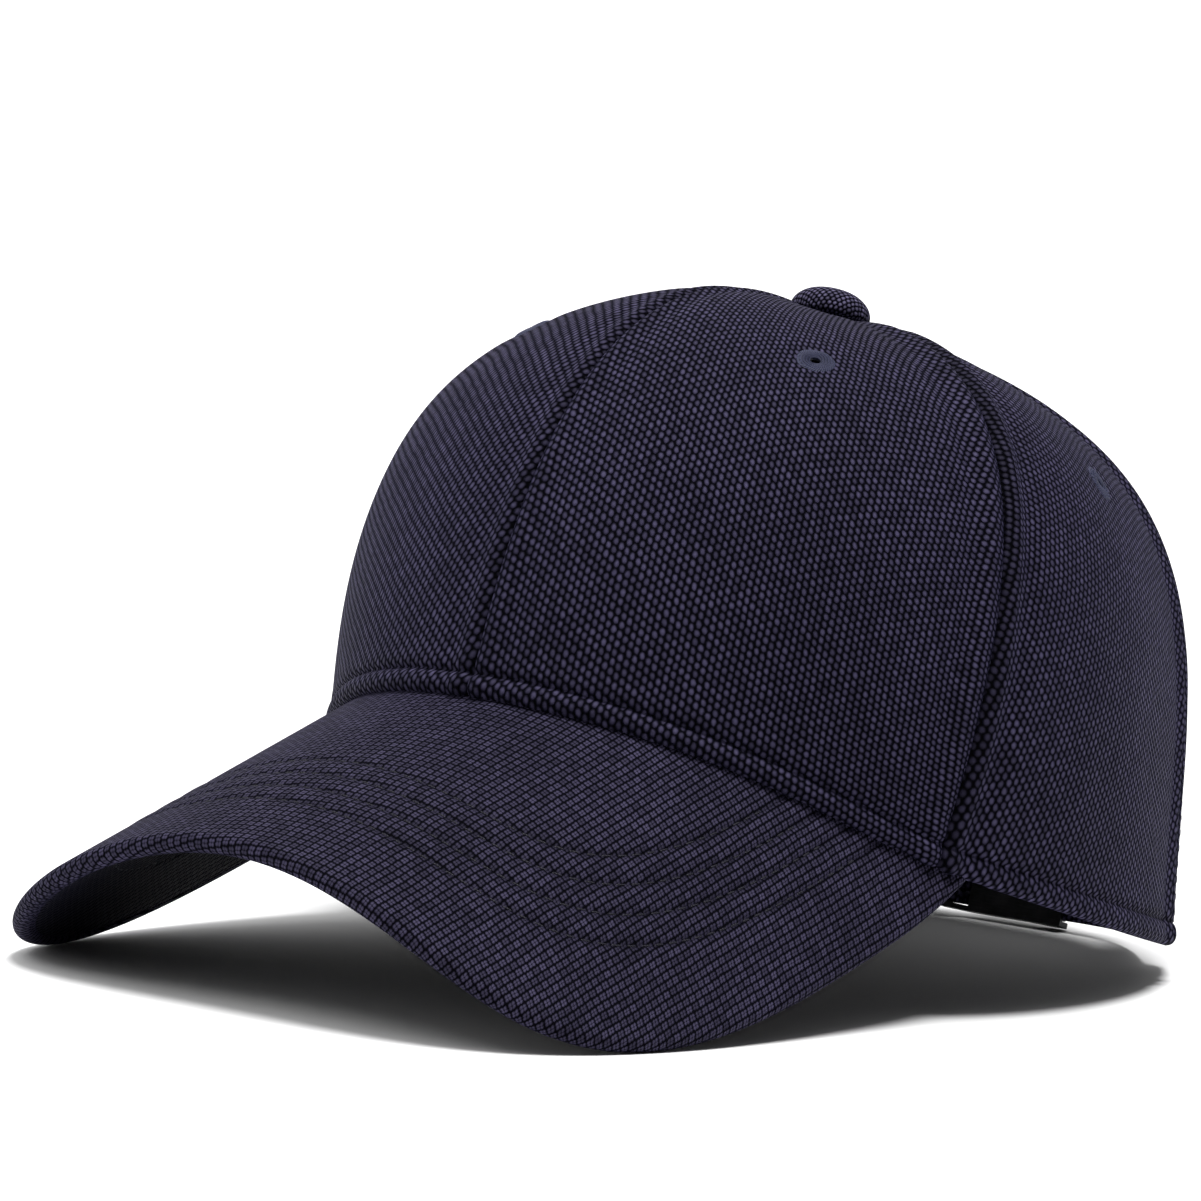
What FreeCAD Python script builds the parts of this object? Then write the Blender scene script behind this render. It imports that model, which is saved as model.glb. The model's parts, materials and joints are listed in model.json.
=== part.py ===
import FreeCAD, Part
import os
from math import sin, cos, tan, pi, radians, degrees, sqrt, hypot, copysign

os.makedirs("parts", exist_ok=True)

# Baseball cap: six sewn panels, curved visor, covered button, rear opening with a strap
# and a flip-lever buckle. Millimetres.
#
# Everything is drawn in the hem frame: the sewn lower edge lies near z = 0, the visor points
# to -Y and the wearer's left is +X. At the end the cap is tipped back until it stands on the
# visor's two lobes and the rear of the hem, and the origin moves to the bottom centre.

# ---- driving dimensions -------------------------------------------------------------------
EDGE_HALF_WIDTH = 78.0         # of the lower edge, which is an egg wider in front
EDGE_FRONT = 86.1
EDGE_REAR = 98.0
EDGE_FLATTEN = 0.022          # flattens the egg's front quarters
CROWN_HEIGHT = 96.5           # lower edge to the top, at the button
BUTTON_BACK = -5.6            # y of the button
SIDE_DIP = -6.5               # the lower edge sags between front and rear
# Each wall profile is a curve whose shape changes round the head: mean, front-back,
# two-fold and three-fold terms.
BELLY = (0.051, 0.099, 0.014, -0.092)      # how far the wall bulges past its lower edge
SHOULDER = (0.619, 0.301, 0.174, 0.051)     # height of the shoulder over the crown height
CREST = (0.899, -0.470, -0.108, -0.180)    # how wide the top stays before it closes
REAR_TUCK = 0.16              # less belly above the rear opening
REAR_ROUND = 0.42             # and a rounder crest there
SEAM_ANGLES = (0.0, 67.7, 124.0, 180.0)     # panel seams, measured from the front
TILT = 13.90                   # the lower edge's slope when the cap stands on a table

PANEL_THICK = 1.0
SEAM_GAP = 0.3                # groove between two panels
TOP_HOLE = 3.2                # radius left open round the button's post
BUCKRAM_THICK = 0.8
TAPE_THICK = 0.6
TAPE_HALF_WIDTH = 9.0
LAYER_GAP = 0.1

BAND_HEIGHT = 32.0            # sweatband
BAND_THICK = 1.4
BAND_DEPTH = 3.1              # from the cap's outside to the band

VISOR_LENGTH = 67.7           # at the centre, from the crease
VISOR_HALF_WIDTH = 97.4       # measured along the curve
VISOR_CORNER = 72.6           # where the visor meets the lower edge
VISOR_SLOPE = 33.2
VISOR_CURVATURE = 0.01448      # across, at the centre line
VISOR_STRAIGHTEN = -1.140e-06  # how the curvature fades to the sides
VISOR_FLARE = -0.031          # the curve tightens toward the free edge
VISOR_WIDEST = -46.4          # where the widest point lies, from the crease
VISOR_ROUNDNESS = 2.73
VISOR_THICK = 3.8
COVER_THICK = 0.9
BOARD_THICK = 1.8

ARCH_HALF_WIDTH = 52.0        # rear opening
ARCH_HEIGHT = 58.0
BINDING_LEG = 4.0
BINDING_THICK = 0.5
BINDING_GAP = 0.25

EYELETS = {"front": (37.0, 0.521), "side": (98.1, 0.612), "rear": (152.0, 0.560)}
EYELET_HOLE = 1.2
EYELET_FLANGE = 4.1
EYELET_SHANK = 1.9

BUTTON_RADIUS = 7.75
BUTTON_HEIGHT = 5.8
BUTTON_LIFT = 0.9

STRAP_WIDTH = 22.0
STRAP_LOW = 0.8                # at the buckle
STRAP_DROP = 1.8               # of the sewn ends below the buckle's level
STRAP_THICK = 0.9
STRAP_Y = 94.5                # of the strap at the buckle
STRAP_DEPTH = 2.5             # of the sewn ends, from the cap's outside
STRAP_END_ANGLE = 127.0
STRAP_LEAVE_ANGLE = 143.0
STRAIGHT_HALF = 17.0

V = FreeCAD.Vector
COLUMNS = 17
ROWS = 23


# ---- crown surface -------------------------------------------------------------------------
def harmonic(terms, phi):
    return sum(c * cos(n * phi) for n, c in enumerate(terms))


def edge_point(phi):
    """Lower edge's outline: phi runs from the front toward the wearer's left."""
    reach = EDGE_FRONT if cos(phi) > 0 else EDGE_REAR
    k = (1 + EDGE_FLATTEN * cos(4 * phi)) / (1 + EDGE_FLATTEN) if cos(phi) > 0 else 1.0
    return EDGE_HALF_WIDTH * sin(phi) * k, -reach * cos(phi) * k


def crown(phi, t):
    """Outside of the crown, t from the lower edge to the top."""
    u = 1 - t
    rear = max(0.0, -cos(phi)) ** 6
    belly = harmonic(BELLY, phi) - REAR_TUCK * rear
    crest = harmonic(CREST, phi) - REAR_ROUND * rear
    rho = u ** 3 + 3 * u * u * t * (1 + belly) + 3 * u * t * t * crest
    rise = 3 * u * u * t * harmonic(SHOULDER, phi) + 3 * u * t * t + t ** 3
    x, y = edge_point(phi)
    return V(x * rho, BUTTON_BACK * (1 - rho) + y * rho,
             CROWN_HEIGHT * rise + SIDE_DIP * sin(phi) ** 2 * u * u)


def crown_normal(phi, t):
    h = 1e-4
    t = min(max(t, h), 1 - 2 * h)
    along = crown(phi + h, t) - crown(phi - h, t)
    up = crown(phi, t + h) - crown(phi, t - h)
    return along.cross(up).normalize()


def crown_at(phi, t, depth):
    return crown(phi, t) - crown_normal(phi, t) * depth


def bisect(f, low, high):
    """Root of a rising function."""
    for _ in range(40):
        mid = (low + high) / 2
        if f(mid) < 0:
            low = mid
        else:
            high = mid
    return (low + high) / 2


def top_distance(phi, t, depth=0.0):
    p = crown_at(phi, t, depth)
    return hypot(p.x, p.y - BUTTON_BACK)


def t_at_radius(phi, radius):
    return bisect(lambda t: radius - top_distance(phi, t), 0.5, 0.999)


def t_at_height(phi, z, depth):
    return bisect(lambda t: crown_at(phi, t, depth).z - z, 0.0, 0.75)


# ---- visor surface -------------------------------------------------------------------------
FRONT_Y = -EDGE_FRONT
SLOPE = radians(VISOR_SLOPE)
CORNER = radians(VISOR_CORNER)
STEP = 0.5


def bend_angle(q):
    return VISOR_CURVATURE * q + VISOR_STRAIGHTEN * q ** 3 / 3


def bent_section(length):
    """Half of the visor's cross-section, unrolled length to (x, z)."""
    xs, zs = [0.0], [0.0]
    for i in range(int(length / STEP)):
        a = bend_angle((i + 0.5) * STEP)
        xs.append(xs[-1] + STEP * cos(a))
        zs.append(zs[-1] - STEP * sin(a))
    return xs, zs


SECTION_X, SECTION_Z = bent_section(125.0)


def lookup(table, q):
    i = min(int(q / STEP), len(table) - 2)
    return table[i] + (table[i + 1] - table[i]) * (q / STEP - i)


def flare(g):
    return 1 + VISOR_FLARE * g / 70.0


def visor_raw(s, g, depth):
    k = flare(g)
    q = abs(s) * k
    a = copysign(bend_angle(q), s)
    x = copysign(lookup(SECTION_X, q) / k, s)
    z = lookup(SECTION_Z, q) / k - g * sin(SLOPE)
    normal = V(sin(a), -cos(a) * sin(SLOPE), cos(a) * cos(SLOPE))
    return V(x, FRONT_Y - g * cos(SLOPE), z) - normal * depth


def unrolled(x, y):
    """Flat pattern coordinates of the visor point above (x, y)."""
    g = -(y - FRONT_Y) / cos(SLOPE)
    k = flare(g)
    q = bisect(lambda v: lookup(SECTION_X, v) - abs(x) * k, 0.0, 120.0)
    return copysign(q / k, x), g


CORNER_POINT = crown(CORNER, 0.0)
CORNER_S, CORNER_G = unrolled(CORNER_POINT.x, CORNER_POINT.y)
VISOR_Z = CORNER_POINT.z - visor_raw(CORNER_S, CORNER_G, 0.0).z


def visor(s, g, depth):
    return visor_raw(s, g, depth) + V(0, 0, VISOR_Z)


def visor_top_z(x, y):
    s, g = unrolled(x, y)
    return visor(s, g, 0.0).z


def hem_t(phi, depth, lift=0.0):
    """Where the crown's lower edge is: on the visor's top in front, at t = 0 elsewhere."""
    if abs(phi) >= CORNER + radians(3):
        return 0.0 if lift == 0.0 else t_at_height(phi, crown(phi, 0.0).z + lift, depth)

    def above(t):
        p = crown_at(phi, t, depth)
        return p.z - visor_top_z(p.x, p.y) - LAYER_GAP - lift
    return bisect(above, 0.0, 0.5) if above(0.0) < 0 else 0.0


# ---- solids from surfaces -------------------------------------------------------------------
def surface(grid):
    s = Part.BSplineSurface()
    s.interpolate(grid)
    return s


def slab(outer, inner):
    """Closed solid between two equal grids of points."""
    a, b = surface(outer), surface(inner)
    ends_a, ends_b = a.bounds(), b.bounds()
    faces = [a.toShape(), b.toShape()]
    for i in (0, 1):
        faces.append(Part.makeRuledSurface(a.uIso(ends_a[i]).toShape(), b.uIso(ends_b[i]).toShape()))
    for i in (2, 3):
        faces.append(Part.makeRuledSurface(a.vIso(ends_a[i]).toShape(), b.vIso(ends_b[i]).toShape()))
    shell = Part.Shell(faces)
    shell.sewShape()
    solid = Part.Solid(shell)
    if solid.Volume < 0:
        solid.reverse()
    return solid


def spread(low, high, count):
    return [low + (high - low) * i / (count - 1) for i in range(count)]


def crown_grid(depth, angle_at, low_t, high_t, columns=COLUMNS, rows=ROWS):
    """Points of the crown at a depth; angle_at(i, t) gives each column's angle."""
    grid = []
    for i in range(columns):
        phi0 = angle_at(i, 0.3)
        low, high = low_t(phi0, depth), high_t(phi0)
        grid.append([crown_at(angle_at(i, t), t, depth) for t in spread(low, high, rows)])
    return grid


def crown_slab(top, bottom, angle_at, low_t, high_t, columns=COLUMNS, rows=ROWS):
    return slab(crown_grid(top, angle_at, low_t, high_t, columns, rows),
                crown_grid(bottom, angle_at, low_t, high_t, columns, rows))


def between(first, last, gap, columns=COLUMNS):
    """Column angles from one seam to the next, keeping half a gap from each."""
    def angle(i, t):
        mid = (first + last) / 2
        inset = gap / 2 / max(top_distance(mid, t), 2.0)
        return first + inset + (last - first - 2 * inset) * i / (columns - 1)
    return angle


def mirrored(shape):
    return shape.mirror(V(0, 0, 0), V(1, 0, 0))


def turned(profile, place, normal):
    """Solid of revolution of (radius, height) points, its axis along a normal."""
    points = [V(r, 0, h) for r, h in profile]
    face = Part.Face(Part.makePolygon(points + [points[0]]))
    solid = face.revolve(V(0, 0, 0), V(0, 0, 1), 360)
    solid.Placement = FreeCAD.Placement(place, FreeCAD.Rotation(V(0, 0, 1), normal))
    return solid


def drill(place, normal, radius, length):
    return Part.makeCylinder(radius, length, place - normal * length / 2, normal)


nodes = {}

# ---- crown panels, stiffening and eyelets ---------------------------------------------------
seams = [radians(a) for a in SEAM_ANGLES]
PANELS = ("front", "side", "rear")

arch_points = [V(ARCH_HALF_WIDTH * cos(a), 30, ARCH_HEIGHT * sin(a)) for a in spread(0.0, pi, 25)]
arch_curve = Part.BSplineCurve()
arch_curve.interpolate(arch_points)
arch_low = Part.makePolygon([arch_points[-1], V(-ARCH_HALF_WIDTH, 30, -30), V(ARCH_HALF_WIDTH, 30, -30),
                             arch_points[0]])
arch_wire = Part.Wire([arch_curve.toShape()] + arch_low.Edges)
arch_tool = Part.Face(arch_wire).extrude(V(0, 100, 0))

for name, first, last in zip(PANELS, seams[:-1], seams[1:]):
    panel = crown_slab(0.0, PANEL_THICK, between(first, last, SEAM_GAP), hem_t,
                       lambda phi: t_at_radius(phi, TOP_HOLE))
    phi, t = radians(EYELETS[name][0]), EYELETS[name][1]
    place, normal = crown(phi, t), crown_normal(phi, t)
    panel = panel.cut(drill(place, normal, EYELET_SHANK + 0.15, 12))
    if name == "rear":
        panel = panel.cut(arch_tool)
    shank_end = -(PANEL_THICK + (LAYER_GAP + BUCKRAM_THICK if name == "front" else 0) + 0.5)
    f = EYELET_FLANGE
    eyelet = turned([(EYELET_HOLE, shank_end), (EYELET_SHANK, shank_end), (EYELET_SHANK, 0.15),
                     (f, 0.15), (f + 0.1, 0.35), (f - 0.3, 0.6), (f - 1.0, 0.75),
                     (EYELET_HOLE + 0.7, 0.75), (EYELET_HOLE + 0.2, 0.55), (EYELET_HOLE, 0.2)],
                    place, normal)
    nodes["panel_%s_left" % name] = panel
    nodes["panel_%s_right" % name] = mirrored(panel)
    nodes["eyelet_%s_left" % name] = eyelet
    nodes["eyelet_%s_right" % name] = mirrored(eyelet)
    if name == "front":
        depth = PANEL_THICK + LAYER_GAP
        buckram = crown_slab(depth, depth + BUCKRAM_THICK, between(first, last, 3.0),
                             lambda phi, d: hem_t(phi, d, 2.0), lambda phi: t_at_radius(phi, 14.0))
        buckram = buckram.cut(drill(place, normal, EYELET_SHANK + 0.15, 12))
        nodes["buckram_front_left"] = buckram
        nodes["buckram_front_right"] = mirrored(buckram)


# ---- seam tapes ---------------------------------------------------------------------------
def tape_angle(seam, columns):
    def angle(i, t):
        half = min(TAPE_HALF_WIDTH / max(top_distance(seam, t), 1.0), radians(25))
        return seam - half + 2 * half * i / (columns - 1)
    return angle


def seam_tape(seam, depth, low_t):
    return crown_slab(depth, depth + TAPE_THICK, tape_angle(seam, 5), low_t,
                      lambda phi: t_at_radius(phi, 10.5), columns=5)


front_depth = PANEL_THICK + BUCKRAM_THICK + 2 * LAYER_GAP
rear_depth = PANEL_THICK + LAYER_GAP
nodes["seam_tape_front"] = seam_tape(0.0, front_depth, lambda phi, d: hem_t(phi, d, 2.0))
side_tape = seam_tape(seams[1], front_depth, lambda phi, d: hem_t(phi, d, 2.0))
nodes["seam_tape_side_left"] = side_tape
nodes["seam_tape_side_right"] = mirrored(side_tape)
rear_tape = seam_tape(seams[2], rear_depth, lambda phi, d: hem_t(phi, d, 2.0))
nodes["seam_tape_rear_left"] = rear_tape
nodes["seam_tape_rear_right"] = mirrored(rear_tape)
arch_top_t = t_at_height(pi, ARCH_HEIGHT + BINDING_LEG + 1.0, rear_depth)
nodes["seam_tape_center"] = seam_tape(pi, rear_depth, lambda phi, d: arch_top_t)

# ---- button --------------------------------------------------------------------------------
top = V(0, BUTTON_BACK, CROWN_HEIGHT)
axis = V(0, 0, 1)
b, h, low = BUTTON_RADIUS, BUTTON_HEIGHT, BUTTON_LIFT


def dome(radius, base, height, steps):
    """Lens-shaped profile from the rim to the axis."""
    points = []
    for a in spread(-0.5, pi / 2, steps):
        points.append((radius * abs(cos(a)) ** 0.8, base + (height - base) * (0.3 + 0.7 * sin(a) if a > 0
                       else 0.3 + 0.6 * sin(a))))
    points[-1] = (0.0, height)
    return points


cover_out = dome(b, low, h, 14)
cover_in = dome(b - 0.8, low + 0.15, h - 0.8, 14)
nodes["button_cover"] = turned([(b - 2.4, low)] + cover_out + cover_in[::-1]
                               + [(b - 2.4, low + 0.35)], top, axis)
core = dome(b - 0.95, low + 0.6, h - 0.95, 14)
nodes["button_core"] = turned([(0.0, -4.6), (1.7, -4.6), (1.7, low + 0.5), (b - 2.6, low + 0.5)]
                              + core, top, axis)
nodes["button_backing"] = turned([(1.8, -4.4), (7.4, -4.4), (7.9, -4.0), (7.9, -3.6), (7.4, -3.2), (1.8, -3.2)],
                                 top, axis)

# ---- sweatband -----------------------------------------------------------------------------
BAND_COLUMNS = 41
band_end = radians(134.0)


def band_angle(i, t):
    return -band_end + 2 * band_end * i / (BAND_COLUMNS - 1)


def band_low(phi, depth):
    return hem_t(phi, depth, 0.6)


def band_grid(depth):
    grid = []
    for i in range(BAND_COLUMNS):
        phi = band_angle(i, 0.0)
        low = band_low(phi, BAND_DEPTH)
        z = crown_at(phi, low, depth).z
        grid.append([crown_at(phi, t_at_height(phi, z + d, depth), depth) for d in spread(0.0, BAND_HEIGHT, 7)])
    return grid


nodes["sweatband"] = slab(band_grid(BAND_DEPTH), band_grid(BAND_DEPTH + BAND_THICK))

# ---- visor ----------------------------------------------------------------------------------
VISOR_COLUMNS = 33


def free_edge():
    """Unrolled outline of the visor's free edge on the +X side, centre line to corner."""
    points = []
    for a in spread(0.0, pi / 2, 41):
        s = VISOR_HALF_WIDTH * sin(a) ** (2 / VISOR_ROUNDNESS)
        g = VISOR_WIDEST + (VISOR_LENGTH - VISOR_WIDEST) * max(cos(a), 0.0) ** (2 / VISOR_ROUNDNESS)
        points.append((s, g))
    p0 = (VISOR_HALF_WIDTH, VISOR_WIDEST)
    p3 = (CORNER_S, CORNER_G)
    drop = CORNER_G - VISOR_WIDEST
    p1 = (VISOR_HALF_WIDTH, VISOR_WIDEST + 0.55 * drop)
    p2 = (CORNER_S + 0.35 * (VISOR_HALF_WIDTH - CORNER_S), CORNER_G - 0.18 * drop)
    for v in spread(0.0, 1.0, 21)[1:]:
        w = 1 - v
        points.append(tuple(w ** 3 * p0[k] + 3 * w * w * v * p1[k] + 3 * w * v * v * p2[k] + v ** 3 * p3[k]
                            for k in (0, 1)))
    return points


EDGE = free_edge()
EDGE_RUN = [0.0]
for (s0, g0), (s1, g1) in zip(EDGE[:-1], EDGE[1:]):
    EDGE_RUN.append(EDGE_RUN[-1] + hypot(s1 - s0, g1 - g0))


def edge_at(fraction):
    """Point of the free edge by its length from the centre line."""
    want = fraction * EDGE_RUN[-1]
    i = 0
    while i < len(EDGE_RUN) - 2 and EDGE_RUN[i + 1] < want:
        i += 1
    f = (want - EDGE_RUN[i]) / (EDGE_RUN[i + 1] - EDGE_RUN[i])
    return [EDGE[i][k] + f * (EDGE[i + 1][k] - EDGE[i][k]) for k in (0, 1)]


def visor_ends(u, inset):
    """Flat points where a column starts, under the crown, and ends, inset from the free edge."""
    phi = abs(u) * CORNER
    p = crown_at(phi, hem_t(phi, 0.0), 2.7)
    s0, g0 = unrolled(p.x, p.y)
    s1, g1 = edge_at(abs(u))
    run = hypot(s1 - s0, g1 - g0)
    ds, dg = (s1 - s0) / run, (g1 - g0) / run
    sign = -1 if u < 0 else 1
    return (sign * s0, g0), (sign * (s1 - ds * inset), g1 - dg * inset), (sign * ds, dg)


def visor_grid(depth, inset, rows=8):
    grid = []
    for u in spread(-1.0, 1.0, VISOR_COLUMNS):
        start, end, _ = visor_ends(u, inset)
        grid.append([visor(start[0] + (end[0] - start[0]) * w, start[1] + (end[1] - start[1]) * w, depth)
                     for w in spread(0.0, 1.0, rows)])
    return grid


def wrapped_grid(radius, tuck):
    """Top face, rounded rim and the return under it, at a radius about the board's middle."""
    middle = VISOR_THICK / 2
    grid = []
    for u in spread(-1.0, 1.0, VISOR_COLUMNS):
        start, end, way = visor_ends(u, middle)
        column = []
        for w in spread(0.0, 1.0, 8)[:-1]:
            column.append(visor(start[0] + (end[0] - start[0]) * w, start[1] + (end[1] - start[1]) * w,
                                middle - radius))
        for a in spread(0.0, pi, 9):
            out = radius * sin(a)
            column.append(visor(end[0] + way[0] * out, end[1] + way[1] * out, middle - radius * cos(a)))
        column.append(visor(end[0] - way[0] * tuck, end[1] - way[1] * tuck, middle + radius))
        grid.append(column)
    return grid


middle = VISOR_THICK / 2
nodes["visor_cover_top"] = slab(wrapped_grid(middle, 0.8), wrapped_grid(middle - COVER_THICK, 0.8))
nodes["visor_board"] = slab(visor_grid(COVER_THICK + LAYER_GAP, middle + 0.1),
                            visor_grid(COVER_THICK + LAYER_GAP + BOARD_THICK, middle + 0.1))
nodes["visor_cover_under"] = slab(visor_grid(VISOR_THICK - COVER_THICK + LAYER_GAP, middle + 1.2),
                                  visor_grid(VISOR_THICK, middle + 1.2))


# ---- binding of the rear opening -------------------------------------------------------------
def wall_above(x, z, depth):
    """Point of the rear wall with the given x and z."""
    phi, t, h = pi - x / 85.0, 0.05 + z / 160.0, 1e-4
    for _ in range(10):
        p = crown_at(phi, t, depth)
        a = (crown_at(phi + h, t, depth) - p) * (1 / h)
        b = (crown_at(phi, t + h, depth) - p) * (1 / h)
        dx, dz = x - p.x, z - p.z
        size = a.x * b.z - a.z * b.x
        phi += (dx * b.z - dz * b.x) / size
        t += (a.x * dz - a.z * dx) / size
    return crown_at(phi, t, depth)


def binding_grid(radius, outward):
    """Folded tape: outer leg, round the cut edge, inner leg."""
    middle = PANEL_THICK / 2
    turn = 0.1
    leg = spread(outward, turn, 6)
    steps = [(d, -radius) for d in leg[:-1]]
    steps += [(turn - radius * sin(a), -radius * cos(a)) for a in spread(0.0, pi, 7)]
    steps += [(d, radius) for d in leg[-2::-1]]
    grid = []
    for a in spread(0.025, pi - 0.025, 37):
        nx, nz = cos(a) * ARCH_HEIGHT, sin(a) * ARCH_HALF_WIDTH
        size = hypot(nx, nz)
        x, z = ARCH_HALF_WIDTH * cos(a), ARCH_HEIGHT * sin(a)
        grid.append([wall_above(x + nx / size * d, z + nz / size * d, middle + e) for d, e in steps])
    return grid


gap_radius = PANEL_THICK / 2 + BINDING_GAP
nodes["opening_binding"] = slab(binding_grid(gap_radius + BINDING_THICK, BINDING_LEG),
                                binding_grid(gap_radius, BINDING_LEG))

# ---- strap and buckle -------------------------------------------------------------------------
strap_heights = spread(STRAP_LOW, STRAP_LOW + STRAP_WIDTH, 4)


def strap_half(z, depth_out, straight, offset):
    """Centre line on the +X side at one height: sewn end, sweep, straight part at the buckle."""
    points = []
    for a in spread(STRAP_END_ANGLE, STRAP_LEAVE_ANGLE, 6):
        phi = radians(a)
        points.append(crown_at(phi, t_at_height(phi, z - STRAP_DROP, depth_out), depth_out))
    start, before = points[-1], points[-2]
    way = (start - before)
    way.z = 0
    way.normalize()
    goal = V(straight, STRAP_Y + offset, z)
    reach = (goal - start).Length
    for v in spread(0.0, 1.0, 9)[1:]:
        a, c = 2 * v ** 3 - 3 * v * v + 1, v ** 3 - 2 * v * v + v
        e, g = -2 * v ** 3 + 3 * v * v, v ** 3 - v * v
        points.append(start * a + way * (c * reach) + goal * e + V(-1, 0, 0) * (g * reach))
    return points


def flipped(points):
    return [V(-p.x, p.y, p.z) for p in points]


def strap_slab(lines, thick):
    """Band whose centre line runs through each line of points, one line per height."""
    outer, inner = [], []
    for i in range(len(lines[0])):
        a, b_ = max(i - 1, 0), min(i + 1, len(lines[0]) - 1)
        row_out, row_in = [], []
        for line in lines:
            way = line[b_] - line[a]
            side = V(way.y, -way.x, 0).normalize()
            if side.y < 0:
                side = side * -1
            row_out.append(line[i] + side * thick / 2)
            row_in.append(line[i] - side * thick / 2)
        outer.append(row_out)
        inner.append(row_in)
    return slab(outer, inner)


TAIL_REST = 1.75              # the tail lies this far outside the anchor strap
tail_lines, anchor_lines = [], []
BAR_X = -14.0
BAR_W = -2.6
for z in strap_heights:
    own = strap_half(z, STRAP_DEPTH, STRAIGHT_HALF, 0.0)
    other = flipped(strap_half(z, STRAP_DEPTH - TAIL_REST - 0.9, STRAIGHT_HALF + 1.0, 0.0))
    middle_line = [V(x, STRAP_Y, z) for x in (10.0, 0.0, -10.0)]
    tail_lines.append(own + middle_line + other[:7:-1])
    anchor_lines.append(flipped(strap_half(z, STRAP_DEPTH, -BAR_X + 3.2, BAR_W)))
nodes["strap_tail"] = strap_slab(tail_lines, STRAP_THICK)
strap_mid = STRAP_LOW + STRAP_WIDTH / 2
anchor = strap_slab(anchor_lines, STRAP_THICK)
loop = Part.makeCylinder(2.0, STRAP_WIDTH, V(BAR_X, STRAP_Y + BAR_W, STRAP_LOW), axis)
lap = STRAP_THICK + 0.16       # the loop's end laps over the strap
loop = loop.fuse(Part.makeBox(4.4, lap, STRAP_WIDTH - 0.2,
                              V(BAR_X - 4.4, STRAP_Y + BAR_W - lap / 2, STRAP_LOW + 0.1)))
loop = loop.cut(Part.makeCylinder(1.1, STRAP_WIDTH + 2, V(BAR_X, STRAP_Y + BAR_W, STRAP_LOW - 1), axis))
nodes["strap_anchor"] = anchor.fuse(loop).removeSplitter()

CHEEK_IN = 11.9
CHEEK_OUT = 12.9
PIN_X = 9.5
PIN_W = 2.3
PIN_RADIUS = 0.8
PLATE_LOW = -1.5
PLATE_HIGH = -0.7
LEVER_FREE = -9.0


def local(x, w, z):
    """Buckle coordinates: along the strap, outward, and up from the strap's middle."""
    return V(x, STRAP_Y + w, strap_mid + z)


def block(x0, x1, w0, w1, z0, z1):
    return Part.makeBox(x1 - x0, w1 - w0, z1 - z0, local(x0, w0, z0))


def rod(x, w, radius, z0, z1):
    return Part.makeCylinder(radius, z1 - z0, local(x, w, z0), axis)


outline = [(-15.4, -3.7), (-12.6, -3.7), (-10.0, -1.5), (12.6, -1.5), (12.6, 1.2), (11.0, 3.7),
           (7.4, 3.7), (3.0, 1.6), (-10.0, 1.6), (-15.4, -1.4)]
frame_solid = block(-10.0, 12.6, PLATE_LOW, PLATE_HIGH, -CHEEK_OUT, CHEEK_OUT)
for z0 in (-CHEEK_OUT, CHEEK_IN):
    ring = [local(x, w, z0) for x, w in outline]
    cheek = Part.Face(Part.makePolygon(ring + [ring[0]])).extrude(V(0, 0, CHEEK_OUT - CHEEK_IN))
    cheek = cheek.cut(rod(PIN_X, PIN_W, PIN_RADIUS, z0 - 1, z0 + 2))
    frame_solid = frame_solid.fuse(cheek)
frame_solid = frame_solid.fuse(rod(BAR_X, BAR_W, 1.0, -CHEEK_OUT, CHEEK_OUT))
nodes["buckle_frame"] = frame_solid.removeSplitter()
nodes["buckle_pin"] = rod(PIN_X, PIN_W, PIN_RADIUS, -CHEEK_OUT, CHEEK_OUT)

LEVER_HALF = 11.5
lever = block(LEVER_FREE, PIN_X, PIN_W + 0.7, PIN_W + 1.5, -LEVER_HALF, LEVER_HALF)
lip = block(LEVER_FREE - 2.2, LEVER_FREE + 0.01, PIN_W + 1.0, PIN_W + 1.5, -5.0, 5.0)
lever = lever.fuse(lip).fuse(rod(PIN_X, PIN_W, 1.5, -LEVER_HALF, LEVER_HALF))
lobe = Part.makePolygon([local(x, w, -LEVER_HALF) for x, w in
                         ((PIN_X - 1.4, PIN_W), (PIN_X - 1.0, PIN_W - 1.5), (PIN_X + 0.4, PIN_W - 1.68),
                          (PIN_X + 1.2, PIN_W - 0.9), (PIN_X - 1.4, PIN_W))])
lever = lever.fuse(Part.Face(lobe).extrude(V(0, 0, 2 * LEVER_HALF)))
nodes["buckle_lever"] = lever.cut(rod(PIN_X, PIN_W, PIN_RADIUS + 0.10, -13, 13)).removeSplitter()

# ---- stand the cap on the table ---------------------------------------------------------------
tip = FreeCAD.Rotation(V(1, 0, 0), -TILT)
standing = {}
for name, shape in nodes.items():
    copy = shape.copy()
    copy.Placement = FreeCAD.Placement(V(0, 0, 0), tip).multiply(copy.Placement)
    standing[name] = copy
box = Part.makeCompound(list(standing.values())).optimalBoundingBox(False, False)
shift = V(-(box.XMin + box.XMax) / 2, -(box.YMin + box.YMax) / 2, -box.ZMin)
for name, shape in standing.items():
    shape.Placement = FreeCAD.Placement(shift, FreeCAD.Rotation()).multiply(shape.Placement)
    shape.exportStep("parts/%s.step" % name)
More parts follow.
